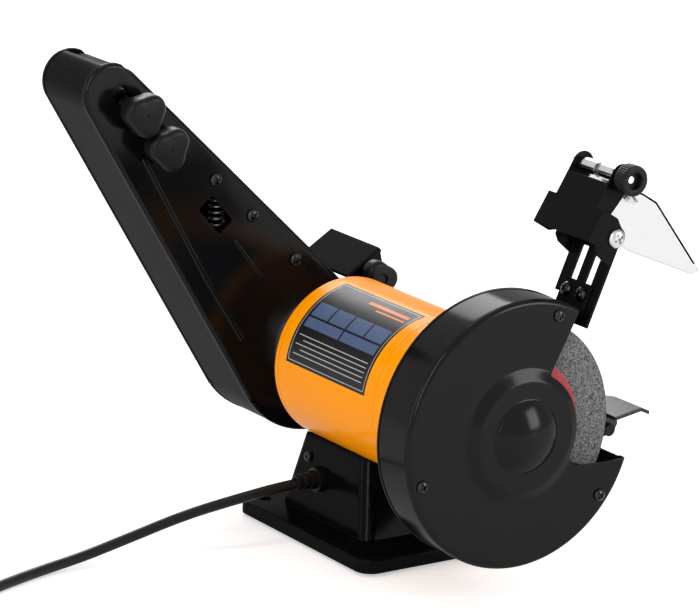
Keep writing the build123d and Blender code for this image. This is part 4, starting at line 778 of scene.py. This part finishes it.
# how far the lobed outline draws in at each height of a head, from its face to its back
knobFace = ((1.3, 1.15), (0.5, 2.0), (0.12, 3.0), (0, 4.2))
knobBack = ((0, 2.6), (0.35, 1.4), (1.1, 0.5), (2.2, 0))
lobes = {"base": 0.905, "swing": 0.105, "flat": 0.01}
knobSteps = 96


def lobeRing(reach, turned, shrink, height):
    ring = []
    for k in range(knobSteps):
        angle = 360 * k / knobSteps
        swing = math.radians(3 * (angle - turned))
        share = lobes["base"] + lobes["swing"] * math.cos(swing) - lobes["flat"] * math.cos(2 * swing)
        ring.append(onCircle(reach * share - shrink, angle) + (height,))
    return ring


def roundRing(radius, height):
    return [onCircle(radius, 360 * k / knobSteps) + (height,) for k in range(knobSteps)]


def lobedKnob(where, knob, turned, stemLength):
    # moulded head with three broad lobes, a round hub behind it and a steel stem
    reach, thick, recess = knob["reach"], knob["thick"], knob["recess"]
    hub, hubLength, stem = knob["hub"], knob["hubLength"], knob["stem"]
    rings = [roundRing(recess * 0.92, 1.6), roundRing(recess, 0.5), roundRing(recess + 0.5, 0.0)]
    levels = [(reach * 0.26, 0.1), (reach * 0.15, 0.5), *knobFace]
    levels += [(shrink, thick - under) for shrink, under in knobBack]
    rings += [lobeRing(reach, turned, shrink, height) for shrink, height in levels]
    rings += [roundRing(hub + 0.6, thick), roundRing(hub, thick + 0.7), roundRing(hub, hubLength - 0.5),
              roundRing(hub - 0.5, hubLength), roundRing(stem, hubLength),
              roundRing(stem, stemLength - 0.4), roundRing(stem - 0.4, stemLength)]
    return ringStack("knobHead", rings, where)


def makeKnobs():
    for name, own in armKnobs.items():
        place = leanFrame(armKnob["x"], leans["arm"]) @ Matrix.Translation(own["spot"])
        knob = lobedKnob(place, armKnob, own["turned"], own["stemLength"])
        washer = collar(place, 20.05, 21.8, 3.95, 8, 0.3, 64)
        standFor(joinPieces(name + "Knob", [knob, washer]), name + "_knob")
    place = leanFrame(tableKnob["x"], leans["platen"]) @ Matrix.Translation(tableKnob["spot"])
    knob = lobedKnob(place, tableKnob, tableKnob["turned"], tableKnob["stemLength"])
    nut = hexNut(place @ Matrix.Translation((0, 0, tableKnob["nutHeight"])), *tableKnob["nut"])
    standFor(joinPieces("tableKnob", [knob, nut]), "table_knob")
    place = crossFrame(*restKnob["place"])
    # the rest's knob is turned from the motor side, so its face looks along +X
    flipped = place @ Matrix.Translation((0, 0, 10)) @ Matrix.Rotation(math.pi, 4, "X")
    knob = lobedKnob(flipped, restKnob, restKnob["turned"], restKnob["stemLength"])
    pin = [(-14.0, 0), (-14.0, 3.9), (-13.6, 4.4), (-11.8, 4.4), (-11.4, 4.1), (-11.4, 0)]
    head = lathe("pinHead", pin, place, 40)
    standFor(joinPieces("restKnob", [knob, head]), "rest_knob")


# finely toothed knob of the eye shield: radius, height and share of the teeth's depth at each level
shieldKnob = {"points": 180, "toothPoints": 5, "tooth": 0.55,
              "levels": ((2.62, 4.0, 0), (5.4, 4.0, 0), (5.5, 0.5, 0), (6.0, 0, 0), (8.8, 0, 0),
                         (9.7, 0.3, 0), (10.15, 0.9, 0.5), (10.3, 1.7, 1), (10.3, 8.4, 1),
                         (10.15, 9.2, 0.5), (9.7, 9.8, 0), (6.0, 10.0, 0), (6.0, 13.4, 0), (2.62, 13.4, 0))}


def makeShieldKnob():
    count = shieldKnob["points"]
    wide = shieldKnob["toothPoints"]
    rings = []
    for radius, height, share in shieldKnob["levels"]:
        ring = []
        for k in range(count):
            cut = abs((k % wide) / (wide / 2) - 1) * shieldKnob["tooth"] * share
            ring.append(onCircle(radius - cut, 360 * k / count) + (height,))
        rings.append(ring)
    lowest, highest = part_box("shield_knob")
    middle = [(low + high) / 2 * perMetre for low, high in zip(lowest, highest)]
    place = facing((lowest[0] * perMetre, middle[1], middle[2]), (1, 0, 0))
    knob = ringStack("shieldKnob", rings + [rings[0]], place, closed=False)
    standFor(knob, "shield_knob", angle=50)


makeKnobs()
makeShieldKnob()
print("knobs made")

# ---- sander arm
# along and across the arm from the spindle, with the turn of each recess
armScrews = {"spots": ((149.3, 18.2, 10), (108.5, 22.6, 50), (59.0, 26.9, 75)), "x": 78.63,
             "screw": {"radius": 4.6, "height": 2.8, "shank": 2.4, "length": 9},
             "nutX": 83.3, "nut": (8, 3.1)}
tableScrews = {"spots": ((-6.0, 38, 30), (2.0, 38, 80)), "x": 76.1,
               "screw": {"radius": 3.6, "height": 2.2, "shank": 2.0, "length": 4.2}}
coverRibs = {"x": 78.7, "sink": 0.15, "steps": 12, "domed": (88, 70, 50, 30, 12),
             "ribs": ((((199.7, -11.6), (99.9, -31.1), (47.6, -38.4)), 4.4, 1.5),
                      (((104.5, 1.7), (70.4, 0.4)), 3.2, 1.2))}


def makeArmScrews():
    for name, row, lean in (("platen_screws", armScrews, leans["arm"]),
                            ("table_bracket_screws", tableScrews, leans["platen"])):
        pieces = []
        for along, across, turned in row["spots"]:
            middle = leanFrame(row["x"], lean) @ Vector((along, across, 0))
            pieces.append(crossScrew(facing(middle, (-1, 0, 0)), row["screw"], turned))
            if "nut" in row:
                behind = leanFrame(row["nutX"], lean) @ Matrix.Translation((along, across, 0))
                pieces.append(hexNut(behind, *row["nut"]))
        title = "platenScrews" if "nut" in row else "tableScrews"
        standFor(joinPieces(title, pieces), name)


def pressedRib(path, width, height, where):
    # half-round rib along a path on a face, with domed ends
    path = [Vector(point) for point in path]
    half = width / 2
    start = (path[1] - path[0]).normalized()
    end = (path[-1] - path[-2]).normalized()
    rows = []
    for turned in coverRibs["domed"]:
        part = math.radians(turned)
        rows.append((path[0] - start * half * math.sin(part), start, math.cos(part)))
    rows += [(point, start if point == path[0] else end, 1.0) for point in path]
    for turned in coverRibs["domed"][::-1]:
        part = math.radians(turned)
        rows.append((path[-1] + end * half * math.sin(part), end, math.cos(part)))
    rings = []
    for point, along, scale in rows:
        across = Vector((-along.y, along.x))
        ring = []
        for k in range(coverRibs["steps"] + 1):
            swing = math.pi * k / coverRibs["steps"]
            spot = point + across * (half * scale * math.cos(swing))
            ring.append((*spot, coverRibs["sink"] - height * scale * math.sin(swing)))
        rings.append(ring)
    return ringStack("rib", rings, where)


def makeRibs():
    face = leanFrame(coverRibs["x"], leans["arm"])
    ribs = [pressedRib(*rib, face) for rib in coverRibs["ribs"]]
    cover = "arm_inner_cover"
    settle(joinPieces("coverRibs", ribs), "blackEnamel", bodyOf[cover], slotOf[cover])


makeArmScrews()
makeRibs()
softened("arm_inner_cover", 0.3, angle=30)
softened("arm_outer_cover", 0.3, angle=30)
softened("arm_back_wall", 0.2, angle=40, paint="satinBlack")
softened("arm_hub", 0.4)
softened("idler_carrier", 0.25, paint="blackenedSteel")
softened("platen", 0.3)
softened("table_bracket", 0.3)
softened("belt_table", 0.4, segments=3)
print("arm made")

# ---- tool rest, deflector and eye shield
shieldSide = {"x": -144.8, "half": 29.3, "foot": (79.88, 124.287)}
bracket = {"lean": 31.5, "root": (7.5, 60.5), "pivot": (11.0, 20.2)}
pivotScrew = {"radius": 6.2, "height": 3.4, "shank": 2.8, "length": 16, "turned": 25}
# ends, bore, radius and eased edge of the two collars on each pivot screw
pivotCollars = ((-7.4, -1.8, 2.9, 5, 0.3), (-13.6, -10.2, 2.9, 4.6, 0.2))
deflector = {"lean": 23.18, "along": 19.5, "out": 1.6, "spots": ((-7.7, 20), (7.7, 70)),
             "screw": {"radius": 4.8, "height": 3.2, "shank": 2.4, "length": 8},
             "nut": (8, 3.5), "nutBehind": 7.4}


def bracketPoint(x, along, out):
    # the same bracket root and lean as the solid's
    foot = onCircle(*shieldSide["foot"])
    lean = math.radians(bracket["lean"])
    root = (foot[0] + bracket["root"][0], foot[1] + bracket["root"][1])
    return (x, root[0] - along * math.sin(lean) - out * math.cos(lean),
            root[1] + along * math.cos(lean) - out * math.sin(lean) + axisHeight)


def makeShieldScrews():
    pieces = []
    for side in (-1, 1):
        place = bracketPoint(shieldSide["x"] + side * (shieldSide["half"] + 0.1), *bracket["pivot"])
        where = facing(place, (side, 0, 0))
        pieces.append(crossScrew(where, pivotScrew, pivotScrew["turned"]))
        pieces += [collar(where, *sizes) for sizes in pivotCollars]
    standFor(joinPieces("pivotScrews", pieces), "shield_pivot_screws")


def makeDeflectorScrews():
    lean = math.radians(deflector["lean"])
    foot = onCircle(*shieldSide["foot"])
    along, off = deflector["along"], deflector["out"]
    out = (0, math.cos(lean), math.sin(lean))
    pieces = []
    for side, turned in deflector["spots"]:
        middle = (shieldSide["x"] + side, foot[0] - along * math.sin(lean) + off * math.cos(lean),
                  foot[1] + along * math.cos(lean) + off * math.sin(lean) + axisHeight)
        pieces.append(crossScrew(facing(middle, out), deflector["screw"], turned))
        behind = Vector(middle) - Vector(out) * deflector["nutBehind"]
        pieces.append(hexNut(facing(behind, out), *deflector["nut"]))
    standFor(joinPieces("deflectorScrews", pieces), "deflector_screws")


makeShieldScrews()
makeDeflectorScrews()
softened("shield_bracket", 0.6, segments=3)
softened("spark_deflector", 0.4, segments=3)
softened("tool_rest", 0.45, segments=3, angle=18, paint="restBlack")
softened("rest_support_arm", 0.4)
softened("rest_support_bolts", 0.25)
softened("shield_clip", 0.18)
softened("shield_clamp", 0.25)
softened("shield_hinge_bolt", 0.3)
softened("eye_shield", 0.25)
print("rest and shield made")

# ---- stand, switch and nuts
softened("base_housing", 0.3, angle=34, paint="standBlack")
softened("base_bottom_plate", 0.2, paint="standBlack")
softened("switch_housing", 0.4, segments=3)
softened("switch_rocker", 0.5, segments=3, angle=20)
softened("stand_screws", 0.25)
softened("spindle_nuts", 0.4)
softened("strain_relief", 0.25, angle=25)
softened("arm_clamp_bolt", 0.3)
softened("motor_tie_bolts", 0.3)
print("stand made")

# ---- mains lead
# the run's points in millimetres; the coil in metres, two turns side by side and three high,
# with the radius and height of each turn, wound clockwise seen from above
lead = {"radius": 0.0035, "length": 1.8,
        "points": [(17, 30, 37.8), (18.5, 58, 36.8), (22.5, 96, 31.5), (28.5, 133, 24.5),
                   (34.2, 171, 13.5), (34.5, 208, 5.6), (29.5, 240, 3.6), (20, 268, 3.6),
                   (7.8, 299, 3.6), (0, 328, 3.6)],
        "centre": (0.037, 0.3486), "turns": 6.25, "perTurn": 14, "startAngle": 195.7, "climbFrom": 0.6,
        "rows": [(0.0415, 0.0036), (0.0345, 0.0040), (0.0345, 0.0108), (0.0415, 0.0112),
                 (0.0415, 0.0174), (0.0345, 0.0174), (0.0345, 0.0174)]}


def leadRoute():
    points = [Vector(point) / 1000 for point in lead["points"]]
    rows = lead["rows"]
    start = math.radians(lead["startAngle"])
    for step in range(1, int(lead["turns"] * lead["perTurn"])):
        turn = step / lead["perTurn"]
        level = int(turn)
        # each turn keeps its row and crosses to the next one at its end
        ease = max(0.0, (turn - level - lead["climbFrom"]) / 0.4)
        ease = ease * ease * (3 - 2 * ease)
        after = rows[min(level + 1, len(rows) - 1)]
        radius, height = (here * (1 - ease) + there * ease for here, there in zip(rows[level], after))
        angle = start - turn * 2 * math.pi
        points.append(Vector((lead["centre"][0] + radius * math.cos(angle),
                              lead["centre"][1] + radius * math.sin(angle), height)))
    return points


def makeLead():
    points = leadRoute()
    curve = bpy.data.curves.new("powerLead", "CURVE")
    curve.dimensions = "3D"
    curve.bevel_depth = lead["radius"]
    curve.bevel_resolution = 6
    curve.resolution_u = 8
    curve.use_fill_caps = True
    spline = curve.splines.new("NURBS")
    spline.points.add(len(points) - 1)
    for point, place in zip(spline.points, points):
        point.co = (place.x, place.y, place.z, 1)
    spline.order_u = 3
    spline.use_endpoint_u = True
    piece = placed("powerLead", curve)
    curve.materials.append(paints["leadSheath"])
    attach(piece, "stand")
    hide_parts("power_cord", "power_cord_coil")
    print("lead route", round(sum((b - a).length for a, b in zip(points, points[1:])), 3))


makeLead()

# ---- stage and lights
stageLook = {"size": 6.0, "level": -0.0002, "floor": (0.80, 0.80, 0.80), "patches": (0.79, 0.79, 0.79),
             "roughness": 0.7, "specular": 0.2, "glow": 0.45, "world": 0.55}


def seenRays(tree):
    # one for what the camera, a mirror or a clear sheet sees, none for what lights the object
    path = addNode(tree, "ShaderNodeLightPath")
    seen = path.outputs["Is Camera Ray"]
    for kind in ("Is Glossy Ray", "Is Transmission Ray"):
        seen = mathOf(tree, "MAXIMUM", seen, path.outputs[kind])
    return seen


def makeStage():
    mesh = bpy.data.meshes.new("benchTop")
    half, level = stageLook["size"], stageLook["level"]
    corners = ((-half, -half), (half, -half), (half, half), (-half, half))
    mesh.from_pydata([corner + (level,) for corner in corners], [], [(0, 1, 2, 3)])
    floor = placed("benchTop", mesh)
    material, tree, shader = newMaterial("benchTop")
    tone = useGroup(tree, mottle, Scale=3.0, Fine_Scale=300.0, Contrast=0.3)
    toned(tree, shader, tone, stageLook["floor"], stageLook["patches"])
    shader.inputs["Roughness"].default_value = stageLook["roughness"]
    shader.inputs["Specular IOR Level"].default_value = stageLook["specular"]
    glow = rangeOf(tree, seenRays(tree), 0.0, stageLook["glow"])
    tree.links.new(glow, shader.inputs["Emission Strength"])
    shader.inputs["Emission Color"].default_value = (1, 1, 1, 1)
    mesh.materials.append(material)
    world = bpy.data.worlds.new("studio")
    scene.world = world
    world.use_nodes = True
    tree = world.node_tree
    back = tree.nodes["Background"]
    back.inputs["Color"].default_value = (1, 1, 1, 1)
    tree.links.new(rangeOf(tree, seenRays(tree), stageLook["world"], 1.0), back.inputs["Strength"])


lamps = {
    "key": {"place": (-1.25, 1.35, 1.05), "size": (0.40, 1.5), "power": 15},
    "left": {"place": (0.5, 2.0, 0.7), "size": (0.40, 1.1), "power": 7},
    "right": {"place": (-1.45, -0.98, 0.62), "size": (0.65, 0.85), "power": 15},
    "top": {"place": (0.5, -0.1, 2.1), "size": (0.9, 0.6), "power": 8},
    "back": {"place": (1.75, -0.75, 1.35), "size": (0.8, 0.8), "power": 16},
}
lampTarget = (0, 0, 0.12)


def makeLamps():
    for name, lamp in lamps.items():
        data = bpy.data.lights.new(name, "AREA")
        data.shape = "RECTANGLE"
        data.size, data.size_y = lamp["size"]
        data.energy = lamp["power"]
        light = placed(name, data)
        light.location = lamp["place"]
        aim = Vector(lampTarget) - Vector(lamp["place"])
        light.rotation_euler = aim.to_track_quat("-Z", "Y").to_euler()


makeStage()
makeLamps()
scene.view_settings.view_transform = "Standard"
print("stage ready")
